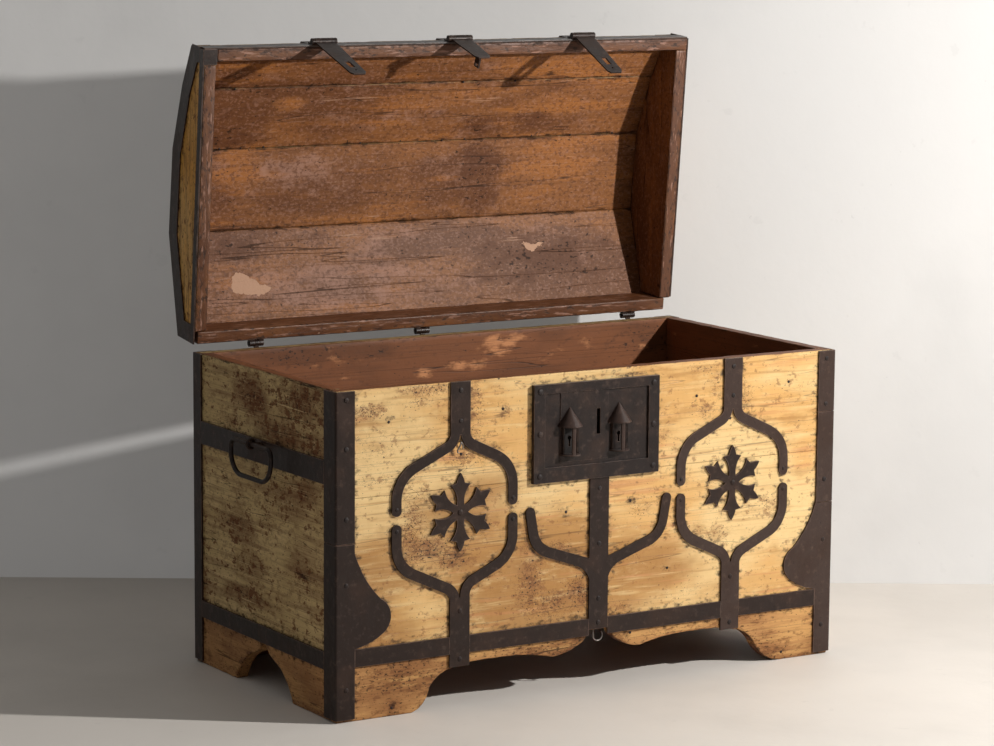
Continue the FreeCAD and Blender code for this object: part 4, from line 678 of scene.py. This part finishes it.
def heads_on(name, spots, tree, values, body, material, replaced=()):
    """Runs the nail tree on points and keeps the result as a plain mesh."""
    mesh = bpy.data.meshes.new(name + "_points")
    mesh.from_pydata([place for place, facing in spots], [], [])
    facing = mesh.attributes.new("facing", "FLOAT_VECTOR", "POINT")
    facing.data.foreach_set("vector", [c for place, way in spots for c in way])
    holder = linked(name + "_points", mesh)
    modifier = holder.modifiers.new("heads", "NODES")
    modifier.node_group = tree
    for item in tree.interface.items_tree:
        if item.item_type == "SOCKET" and item.in_out == "INPUT" and item.name in values:
            modifier[item.identifier] = values[item.name]
    return put_object(name, built(holder), [material], body, replaced, ROUND)


# ---------------------------------------------------------------- what lies where

# The irons at the right, which take the paler lamplit iron: painted light where the lamp falls nearest.
LAMPLIT_STRAPS = ("right_upper_fork", "right_lower_fork", "front_right_corner_irons")
CASE_STRAPS = (
    "left_upper_fork", "left_lower_fork", "right_upper_fork", "right_lower_fork", "left_rosette",
    "right_rosette", "centre_fork", "front_base_band", "front_left_corner_irons",
    "front_right_corner_irons", "back_corner_irons", "end_and_back_base_bands", "handle_bands",
    "case_hinge_leaves")
LID_STRAPS = ("lid_left_arch_iron", "lid_right_arch_iron", "lid_rim_irons", "lid_front_edge_iron",
              "lid_dome_straps", "lid_hinge_leaves")
# The irons that leave grime on the wood round them.
CASE_IRONS = (*CASE_STRAPS, "board_nails", "lock_plate")
LID_IRONS = (*LID_STRAPS, "lid_hasp_brackets")
# Points that the inner faces of the case and of the lid look towards.
CASE_HOLLOW = Vector((0.0, -0.0475, 0.40))
LID_HOLLOW = Vector((0.0, -0.35, 0.90))
FRONT, BACK_INSIDE, LEFT = -0.3275, 0.2075, -0.55   # outer faces of the front and left end, inner of the back
FRONT_SEAMS, END_SEAMS = (0.408, 0.1165), (0.395,)  # heights of the seams that paint runs over
UPWARDS, DOWNWARDS, FORWARDS = Vector((0.0, 0.0, 1.0)), Vector((0.0, 0.0, -1.0)), Vector((0.0, -1.0, 0.0))


def on_front(*spots, y=FRONT):
    """Marks on the front boards from (x, z, reach along, reach up) in mm and a strength."""
    return [((x / 1000, y, z / 1000), (along / 1000, 0.03, up / 1000), strength)
            for x, z, along, up, strength in spots]


def on_back(*spots):
    """The same on the inside of the back boards."""
    return on_front(*spots, y=BACK_INSIDE)


def on_left(*spots):
    """Marks on the left end from (y, z, reach along, reach up) in mm and a strength."""
    return [((LEFT, y / 1000, z / 1000), (0.03, along / 1000, up / 1000), strength)
            for y, z, along, up, strength in spots]


def in_lid(*spots):
    """Marks on the lid's planks from (x, y, z, reach along, reach up) in mm and a strength."""
    return [((x / 1000, y / 1000, z / 1000), (along / 1000, 0.05, up / 1000), strength)
            for x, y, z, along, up, strength in spots]


FRONT_MARKS = {
    "dark": on_front(
        (-358, 594, 85, 16, 0.95), (-492, 563, 65, 20, 0.9), (-379, 574, 40, 22, 0.6),
        (-465, 500, 75, 50, 0.35), (-262, 545, 32, 85, 0.65), (-200, 545, 30, 30, 0.5),
        (-388, 400, 50, 60, 0.45), (-395, 345, 45, 75, 0.8), (-363, 300, 85, 40, 1.0),
        (-311, 280, 60, 32, 0.95), (-280, 460, 60, 28, 0.6), (-470, 438, 60, 20, 0.5),
        (-141, 210, 45, 80, 0.85), (-93, 170, 115, 42, 0.72), (-30, 185, 50, 55, 0.9),
        (-80, 270, 50, 28, 0.85), (-150, 290, 22, 50, 0.6), (109, 335, 55, 30, 0.45),
        (275, 560, 22, 60, 0.55), (250, 508, 35, 28, 0.6), (341, 520, 30, 50, 0.65),
        (396, 310, 60, 35, 0.55), (283, 265, 50, 30, 0.5), (232, 274, 30, 20, 0.5), (150, 464, 30, 20, 0.4),
        (480, 175, 60, 35, 0.4), (50, 145, 50, 20, 0.6), (-471, 160, 60, 30, 0.3), (220, 165, 80, 25, 0.3),
        (240, 588, 60, 12, 0.6)),
    "warm": on_front(
        (85, 372, 110, 32, 1.0), (483, 379, 60, 60, 0.8), (391, 510, 110, 40, 0.7), (340, 584, 90, 20, 0.6),
        (-311, 472, 50, 26, 0.9), (450, 585, 80, 20, 0.4), (-200, 150, 200, 40, 0.25),
        (155, 200, 120, 50, 0.3)),
    # On the front these marks are the paint's darker waxed tone.
    "amber": on_front(
        (-120, 230, 260, 160, 1.0), (-60, 150, 300, 80, 0.8), (-460, 220, 140, 200, 0.9),
        (100, 220, 180, 120, 0.6), (-300, 300, 180, 200, 0.7), (360, 150, 250, 60, 0.4)),
    # The marks on the right half lighten the paint where the lamp's sheen falls, a painted highlight; those
    # at the left are the paint's own paler tone.
    "pale": on_front(
        (-480, 400, 130, 220, 0.9), (-430, 520, 140, 110, 0.8), (-330, 370, 130, 130, 0.35),
        (300, 430, 160, 120, 0.9), (470, 300, 90, 160, 0.9), (330, 300, 170, 130, 0.7),
        (400, 540, 160, 60, 0.6))}
LEFT_MARKS = {
    "dark": on_left(
        (-190, 560, 150, 60, 1.0), (-130, 500, 150, 45, 0.75), (-10, 555, 100, 55, 0.95),
        (-240, 500, 70, 50, 0.8), (90, 490, 80, 30, 0.6), (-120, 380, 120, 50, 0.55),
        (60, 300, 100, 50, 0.6), (10, 230, 130, 40, 0.55), (-190, 250, 80, 50, 0.45),
        (-60, 330, 60, 40, 0.45), (20, 165, 120, 30, 0.8), (150, 235, 50, 40, 0.25),
        (-210, 400, 60, 40, 0.6), (200, 150, 30, 60, 0.5)),
    "pale": on_left(
        (150, 360, 90, 60, 0.6), (0, 270, 150, 100, 0.25), (-200, 170, 80, 40, 0.4))}
PLINTH_MARKS = {
    "dark": on_front(
        (-430, 70, 150, 60, 0.7), (400, 30, 80, 40, 0.5), (-437, 20, 50, 25, 0.5), (-80, 90, 160, 30, 0.6)),
    "pale": on_front(
        (150, 85, 180, 30, 0.8), (470, 70, 80, 60, 0.8)),
    "knot": on_front(
        (-437, 16.5, 20, 18, 1.0), (439, 14.5, 16, 14, 0.9), (395, 10, 40, 12, 0.5))}
BACK_MARKS = {
    "warm": on_back(
        (115, 575, 110, 35, 1.0), (40, 540, 90, 25, 0.8), (230, 545, 80, 20, 0.5), (-67, 527, 70, 25, 0.9),
        (-230, 530, 70, 20, 0.5)),
    "dark": on_back(
        (-336, 588, 140, 30, 0.6), (-160, 582, 90, 20, 0.6), (480, 560, 100, 50, 0.5))}
LID_MARKS = {
    # Painted sheen: where the lid's varnish shows the lamp as a whitish bloom.
    "amber": in_lid(
        (-200, 315, 700, 400, 90, 1.0), (-100, 330, 790, 200, 30, 0.8), (-270, 324, 932, 200, 60, 1.0),
        (300, 330, 780, 100, 30, 0.5), (-50, 300, 1040, 250, 40, 0.5), (80, 325, 930, 100, 60, 0.6)),
    "dark": in_lid(
        (130, 325, 930, 85, 65, 1.0), (145, 330, 860, 60, 45, 0.8), (150, 326, 785, 70, 30, 0.7),
        (-450, 305, 1000, 120, 30, 0.8), (-420, 290, 1040, 90, 50, 0.5), (130, 310, 1005, 80, 30, 0.6),
        (-470, 325, 900, 70, 70, 0.3), (-240, 330, 905, 30, 20, 0.5), (250, 305, 1020, 60, 30, 0.5),
        (-480, 300, 680, 60, 80, 0.4), (-440, 255, 1125, 60, 20, 0.6), (300, 320, 730, 300, 90, 0.95),
        (0, 325, 765, 200, 50, 0.4), (-410, 328, 790, 140, 50, 0.7), (-300, 270, 1100, 250, 30, 0.5),
        (-250, 330, 795, 100, 25, 0.6), (-480, 318, 975, 60, 40, 0.6)),
    "warm": in_lid(
        (-316, 284, 1068, 50, 22, 1.0), (330, 325, 930, 120, 80, 0.7), (300, 290, 1050, 160, 40, 0.5),
        (50, 300, 1070, 150, 30, 0.4), (-420, 325, 935, 80, 50, 0.6), (250, 258, 1120, 200, 30, 0.5)),
    "pale": in_lid(
        (-80, 330, 790, 110, 12, 1.0), (-150, 331, 796, 50, 10, 0.9), (105, 335, 812, 30, 10, 0.9),
        (-200, 280, 1075, 160, 16, 0.7), (120, 285, 1062, 90, 14, 0.8), (230, 322, 770, 60, 14, 0.8),
        (370, 285, 1060, 50, 12, 0.7), (294, 320, 965, 20, 14, 0.8), (200, 263, 1112, 60, 10, 0.6))}
LID_CHIPS = [[Vector([c / 1000 for c in corner]) for corner in chip] for chip in (
    ((-431.1, 309.8, 701.8), (-429, 316, 729), (-418.1, 318.3, 739.5), (-405, 318.2, 739),
     (-368, 313.3, 717.4), (-370, 308, 694)),
    ((-368, 313.3, 717.4), (-336.4, 310.5, 705), (-348, 309, 698.5), (-375, 308, 694)),
    ((238, 324.3, 765.6), (245.8, 325.1, 769.2), (257, 323.6, 762.6), (274, 321.6, 753.8),
     (262, 319.6, 745.1), (253.4, 321.6, 753.7)),
    ((264, 322.6, 758), (288.6, 323.5, 762.5), (295.5, 322.7, 758.6), (280, 321.3, 752.3),
     (262, 319.6, 745.1)))]
# Painted shade: the insides of the keyhole hoods, which stay black.
HOOD_SHADE = [((x, y, 0.478), (0.030, 0.013, 0.060), 1.0) for x, y in ((-0.062, -0.337), (0.048, -0.336))]


# ---------------------------------------------------------------- the pieces

class COFFER_OT_front(bpy.types.Operator):
    """Dress the painted front boards"""
    bl_idname = "coffer.front"
    bl_label = "Front boards"

    def execute(self, context):
        irons = iron_tree(CASE_IRONS)
        for seed, node in enumerate(("front_upper_board", "front_lower_board")):
            board(node, finish("oil_painted_pine_front"), irons, finish("old_bare_pine"),
                  CASE_HOLLOW, FRONT_MARKS, bevel=0.5 * MM, seed=seed * 5.0, grid=8 * MM, quiet=FRONT_SEAMS,
                  rim=UPWARDS, rim_finish=finish("old_bare_pine"))
        return {"FINISHED"}


class COFFER_OT_plinth(bpy.types.Operator):
    """Dress the plinth and its bracket feet"""
    bl_idname = "coffer.plinth"
    bl_label = "Plinth"

    def execute(self, context):
        irons = iron_tree(CASE_IRONS)
        for seed, node in enumerate(("front_plinth", "back_plinth")):
            # Faces that look down, under the arch and the feet, take the near-black flaking shellac: painted
            # shade, for these faces lie in shadow.
            board(node, finish("thin_painted_pine_plinth"), irons, finish("old_bare_pine"), CASE_HOLLOW,
                  PLINTH_MARKS, seed=20.0 + seed, rim=DOWNWARDS, rim_finish=finish("flaking_shellacked_pine"))
        for seed, node in enumerate(("left_plinth", "right_plinth")):
            board(node, finish("thin_painted_pine_plinth_ends"), irons,
                  finish("old_bare_pine_ends"), CASE_HOLLOW, seed=24.0 + seed)
        return {"FINISHED"}


class COFFER_OT_ends(bpy.types.Operator):
    """Dress the end boards, the back and the floor of the case"""
    bl_idname = "coffer.ends"
    bl_label = "Ends, back and floor"

    def execute(self, context):
        irons = iron_tree(CASE_IRONS)
        for seed, node in enumerate(("left_end_boards", "right_end_boards")):
            marks = LEFT_MARKS if node == "left_end_boards" else {
                key: [((-place[0], place[1], place[2]), reach, strength) for place, reach, strength in spots]
                for key, spots in LEFT_MARKS.items()}
            board(node, finish("oil_painted_pine_ends"), irons, finish("old_bare_pine_ends"),
                  CASE_HOLLOW, marks, seed=30.0 + seed, quiet=END_SEAMS, rim=UPWARDS,
                  rim_finish=finish("old_bare_pine_ends"))
        board("back_boards", finish("oil_painted_pine_outer"), irons, finish("old_bare_pine"),
              CASE_HOLLOW, BACK_MARKS, seed=34.0)
        board("floor_boards", finish("old_bare_pine"), irons, seed=36.0, grid=30 * MM)
        return {"FINISHED"}


class COFFER_OT_lid(bpy.types.Operator):
    """Dress the planks, rails and end panels of the lid"""
    bl_idname = "coffer.lid"
    bl_label = "Lid boards"

    def execute(self, context):
        irons = iron_tree(LID_IRONS)
        outer, inner = finish("oil_painted_pine_outer"), finish("shellacked_pine")
        for seed, place in enumerate(("back", "crown", "shoulder", "front")):
            board("lid_plank_" + place, outer, irons, inner, LID_HOLLOW, LID_MARKS,
                  LID_CHIPS, seed=40.0 + seed, grid=6 * MM)
        for seed, node in enumerate(("lid_back_rail", "lid_front_rail")):
            board(node, finish("flaking_shellacked_pine"), irons, seed=50.0 + seed)
        for seed, node in enumerate(("lid_left_end_panel", "lid_right_end_panel")):
            board(node, finish("oil_painted_pine_lid_end"), irons,
                  finish("shellacked_pine_ends"), LID_HOLLOW, seed=54.0 + seed, rim=FORWARDS,
                  rim_finish=finish("flaking_shellacked_pine_ends"))
        return {"FINISHED"}


class COFFER_OT_straps(bpy.types.Operator):
    """Dress the flat irons on the case"""
    bl_idname = "coffer.straps"
    bl_label = "Case irons"

    def execute(self, context):
        for node in CASE_STRAPS:
            # The straps at the right get the paler iron, which paints in the lamp's light on them.
            kind = "rubbed_strap_iron" if node in LAMPLIT_STRAPS else "forged_strap_iron"
            ironwork(node, finish(kind))
        return {"FINISHED"}


class COFFER_OT_lock(bpy.types.Operator):
    """Dress the plate lock with its keyhole hoods and bolt"""
    bl_idname = "coffer.lock"
    bl_label = "Lock"

    def execute(self, context):
        # The hoods take the paler lamplit iron, a painted highlight on their roofs and posts. Hoods and cover
        # are blackened at the hood marks, which is painted shade.
        for node in ("lock_plate", "lock_frame", "lock_cover", "left_keyhole_hood", "right_keyhole_hood"):
            hood = node.endswith("hood")
            ironwork(node, finish("rubbed_strap_iron" if hood else "forged_lock_iron"),
                     bevel=0.5 * MM, waver=0.3 * MM, dark=HOOD_SHADE if hood or node == "lock_cover" else ())
        for node in ("lock_case", "lock_bolt"):
            ironwork(node, finish("rubbed_steel"), bevel=0.4 * MM, waver=0.0)
        return {"FINISHED"}


class COFFER_OT_lid_irons(bpy.types.Operator):
    """Dress the irons of the lid"""
    bl_idname = "coffer.lid_irons"
    bl_label = "Lid irons"

    def execute(self, context):
        for node in LID_STRAPS:
            ironwork(node, finish("forged_strap_iron"), waver=0.4 * MM)
        return {"FINISHED"}


class COFFER_OT_hasps(bpy.types.Operator):
    """Dress the hasps, their brackets and their pins"""
    bl_idname = "coffer.hasps"
    bl_label = "Hasps"

    def execute(self, context):
        for node in ("lid_hasp_brackets", "left_hasp", "middle_hasp", "right_hasp"):
            ironwork(node, finish("forged_hasp_iron"), bevel=0.5 * MM, waver=0.0)
        for node in ("left_hasp_pin", "middle_hasp_pin", "right_hasp_pin"):
            ironwork(node, finish("forged_hasp_iron"), bevel=0.6 * MM, waver=0.0)
        ironwork("hinge_pins", finish("forged_hasp_iron"), bevel=0.4 * MM, waver=0.0)
        return {"FINISHED"}


class COFFER_OT_handles(bpy.types.Operator):
    """Dress the ring handles and their eyes, the staple and the hook"""
    bl_idname = "coffer.handles"
    bl_label = "Ring handles"

    def execute(self, context):
        for node in ("left_ring_handle", "right_ring_handle", "handle_eyes"):
            ironwork(node, finish("forged_handle_iron"), bevel=0.3 * MM, waver=0.0)
        middle, bend = Vector((0.0135, -0.3215, 0.097)), 0.0104
        turns = [math.radians(180 + 20 * i) for i in range(12)]
        hook = [middle + bend * Vector((math.cos(a), 0, math.sin(a))) for a in turns]
        hook.insert(0, (0.0031, -0.3215, 0.109))
        wires("apron_hook", [hook], 1.5 * MM, finish("rubbed_steel"))
        root = (-0.295, FRONT, 0.494)
        long_leg = [root, (-0.296, -0.3345, 0.493), (-0.299, -0.3355, 0.486), (-0.3035, -0.3350, 0.479),
                    (-0.303, -0.3340, 0.4745), (-0.300, -0.3335, 0.4735)]
        short_leg = [root, (-0.294, -0.3340, 0.492), (-0.291, -0.3335, 0.485), (-0.2895, -0.3290, 0.479)]
        wires("hasp_staple", [long_leg, short_leg], 1.3 * MM, finish("rubbed_steel"))
        return {"FINISHED"}


class COFFER_OT_nails(bpy.types.Operator):
    """Set the nail and rivet heads"""
    bl_idname = "coffer.nails"
    bl_label = "Nails and rivets"

    def execute(self, context):
        settings = context.scene.coffer_nails
        material = finish("rusted_nail_iron")
        tree = nail_tree(material)
        values = {"Rise": settings.rise, "Uneven": settings.uneven, "Seed": settings.seed}
        for node in ("board_nails", "iron_rivets"):
            sizes = {}
            for low, high in islands(node):
                size = high - low
                axis = min(range(3), key=lambda i: size[i])
                middle = (low + high) / 2
                facing = [0.0, 0.0, 0.0]
                facing[axis] = -1.0 if middle[axis] < 0 else 1.0
                middle[axis] = high[axis] if middle[axis] < 0 else low[axis]
                sizes.setdefault(round(max(size), 4), []).append((middle, facing))
            for count, (width, spots) in enumerate(sorted(sizes.items())):
                heads_on(f"{node}_{count}", spots, tree, {**values, "Width": width}, "chest_case",
                         material, [node] if count == 0 else [])
        heads_on("lid_nail_stubs", self.lid_stubs(), tree, {**values, "Width": 5 * MM, "Rise": 0.35},
                 "lid", material)
        return {"FINISHED"}

    def lid_stubs(self):
        """Broken nails along the seams and the front rail inside the lid, at uneven spacing."""
        rows = ((Vector((0, 0.3180, 0.9845)), Vector((0, -0.994, 0.117)), 19),
                (Vector((0, 0.3370, 0.8140)), Vector((0, -0.975, 0.221)), 13),
                (Vector((0, 0.2690, 1.1050)), Vector((0, -0.93, -0.37)), 15))
        run, drift = 0.96, 0.02   # length of a row, and how far a nail strays along it
        up_seam = Vector((0, 0.2, 1)) * 7 * MM
        spots = []
        for row, (place, facing, count) in enumerate(rows):
            for i in range(count):
                stray = noise.noise_vector(Vector((i * 1.7, row * 5.1, 0.4)))
                along = Vector((run * ((i + 0.5) / count - 0.5) + drift * stray.x, 0, 0))
                spots.append((place + along + up_seam * stray.y, tuple(facing)))
        return spots


class COFFER_OT_stage(bpy.types.Operator):
    """Set the floor, the wall, the light and the camera"""
    bl_idname = "coffer.stage"
    bl_label = "Floor, wall and light"

    def execute(self, context):
        scene = context.scene
        stage = scene.coffer_stage
        lens = bpy.data.cameras.new("camera")
        lens.lens = CAMERA_LENS
        lens.sensor_width = CAMERA_FILM
        lens.clip_end = CAMERA_FAR
        scene.camera = linked("camera", lens)
        turn = (Matrix.Rotation(-CAMERA_YAW, 4, "Z") @ Matrix.Rotation(math.pi / 2 - CAMERA_PITCH, 4, "X")
                @ Matrix.Rotation(CAMERA_ROLL, 4, "Z"))
        scene.camera.matrix_world = Matrix.Translation(CAMERA_PLACE) @ turn
        ahead = Vector((math.sin(CAMERA_YAW), math.cos(CAMERA_YAW), 0.0))
        foot = Vector((*CAMERA_PLACE.xy, 0.0)) + ahead * stage.wall_distance
        aside = Vector((ahead.y, -ahead.x, 0.0)) * WALL_HALF
        top = Vector((0, 0, WALL_HEIGHT))
        corners = [Vector((x, y, 0)) * FLOOR_HALF for x, y in ((-1, -1), (1, -1), (1, 1), (-1, 1))]
        self.sheet("floor", corners, self.plaster("painted_concrete_floor", stage.floor, 0.0, 0.55))
        wall = self.plaster("lime_plastered_wall", stage.wall, 0.085, 0.9)
        self.open_behind(wall)
        self.sheet("wall", [foot - aside, foot + aside, foot + aside + top, foot - aside + top], wall)
        lamp = bpy.data.lights.new("key", "POINT")
        lamp.energy = stage.key
        lamp.shadow_soft_size = stage.key_radius
        lamp.color = LAMPLIGHT
        lamp.use_nodes = True
        # The lamp fades with distance, not with its square, so that chest, floor and wall are lit alike.
        tree = lamp.node_tree
        falloff = add(tree, "ShaderNodeLightFalloff", {"Strength": 1.0}).outputs["Linear"]
        fill(tree, tree.nodes["Emission"], {"Strength": falloff})
        linked("key", lamp).matrix_world = Matrix.Translation(LAMP_PLACE)
        # The soft light comes from overhead, so that the shadow under the chest stays dark.
        world = bpy.data.worlds.new("studio")
        scene.world = world
        world.use_nodes = True
        tree = world.node_tree
        way = add(tree, "ShaderNodeTexCoord").outputs["Generated"]
        height = add(tree, "ShaderNodeSeparateXYZ", {"Vector": way}).outputs["Z"]
        strength = add(tree, "ShaderNodeMapRange", {"Value": height, "To Min": stage.low_fill,
                                                    "To Max": stage.fill})
        fill(tree, tree.nodes["Background"], {"Color": rgba(LAMPLIGHT), "Strength": strength})
        scene.view_settings.view_transform = "Standard"
        return {"FINISHED"}

    def sheet(self, name, corners, material):
        """Lays a flat four-cornered sheet that isn't part of the chest."""
        mesh = bpy.data.meshes.new(name)
        mesh.from_pydata([tuple(c) for c in corners], [], [(0, 1, 2, 3)])
        mesh.materials.append(material)
        piece = linked(name, mesh)

    def plaster(self, name, tint, lift, rough):
        """Pale plaster or painted concrete, faintly clouded, trowelled and scuffed."""
        shade = tuple(c * 0.8 for c in tint)
        clouds = (coat(700, 700, 0.42, 0.72, 0.5, shade), coat(60, 60, 0.66, 0.72, 0.25, shade),
                  coat(14, 14, 0.7, 0.76, 0.5, shade, 0.0, -0.2))
        material = coated(name, tint, clouds, rough=rough, relief=((240, 240, 2.0), (30, 30, 0.5)), wet=0.3)
        tree = material.node_tree
        rays = add(tree, "ShaderNodeLightPath").outputs
        seen = add(tree, "ShaderNodeMath", {0: rays["Is Camera Ray"], 1: rays["Is Glossy Ray"]})
        seen = add(tree, "ShaderNodeMath", {0: seen, 1: rays["Is Transmission Ray"]})
        lifted = add(tree, "ShaderNodeMath", {0: seen, 1: lift}, operation="MULTIPLY")
        fill(tree, tree.nodes["Principled BSDF"], {"Emission Strength": lifted, "Emission Color": WHITE})
        return material

    def open_behind(self, material):
        """Clears the back of a sheet, so that the chest can be seen from behind the wall."""
        tree = material.node_tree
        behind = add(tree, "ShaderNodeNewGeometry").outputs["Backfacing"]
        clear = add(tree, "ShaderNodeBsdfTransparent")
        either = add(tree, "ShaderNodeMixShader", {0: behind, 1: tree.nodes["Principled BSDF"], 2: clear})
        fill(tree, tree.nodes["Material Output"], {"Surface": either})


PIECES = (COFFER_OT_front, COFFER_OT_plinth, COFFER_OT_ends, COFFER_OT_lid, COFFER_OT_straps, COFFER_OT_lock,
          COFFER_OT_lid_irons, COFFER_OT_hasps, COFFER_OT_handles, COFFER_OT_nails, COFFER_OT_stage)


class COFFER_PT_panel(bpy.types.Panel):
    """Buttons for each group of pieces"""
    bl_idname = "COFFER_PT_panel"
    bl_label = "Coffer chest"
    bl_space_type = "VIEW_3D"
    bl_region_type = "UI"
    bl_category = "Coffer"

    def draw(self, context):
        for group in (context.scene.coffer_paint, context.scene.coffer_iron, context.scene.coffer_nails,
                      context.scene.coffer_stage):
            box = self.layout.box()
            for name in group.__annotations__:
                box.prop(group, name)
        for piece in PIECES:
            self.layout.operator(piece.bl_idname)


GROUPS = {"coffer_paint": PaintSettings, "coffer_iron": IronSettings, "coffer_nails": NailSettings,
          "coffer_stage": StageSettings}


def register():
    for kind in (*GROUPS.values(), *PIECES, COFFER_PT_panel):
        bpy.utils.register_class(kind)
    for name, kind in GROUPS.items():
        setattr(bpy.types.Scene, name, PointerProperty(type=kind))


def unregister():
    for name in GROUPS:
        delattr(bpy.types.Scene, name)
    for kind in (COFFER_PT_panel, *reversed(PIECES), *reversed(GROUPS.values())):
        bpy.utils.unregister_class(kind)


def main():
    register()
    for piece in PIECES:
        group, name = piece.bl_idname.split(".")
        getattr(getattr(bpy.ops, group), name)()


if __name__ == "__main__":
    main()
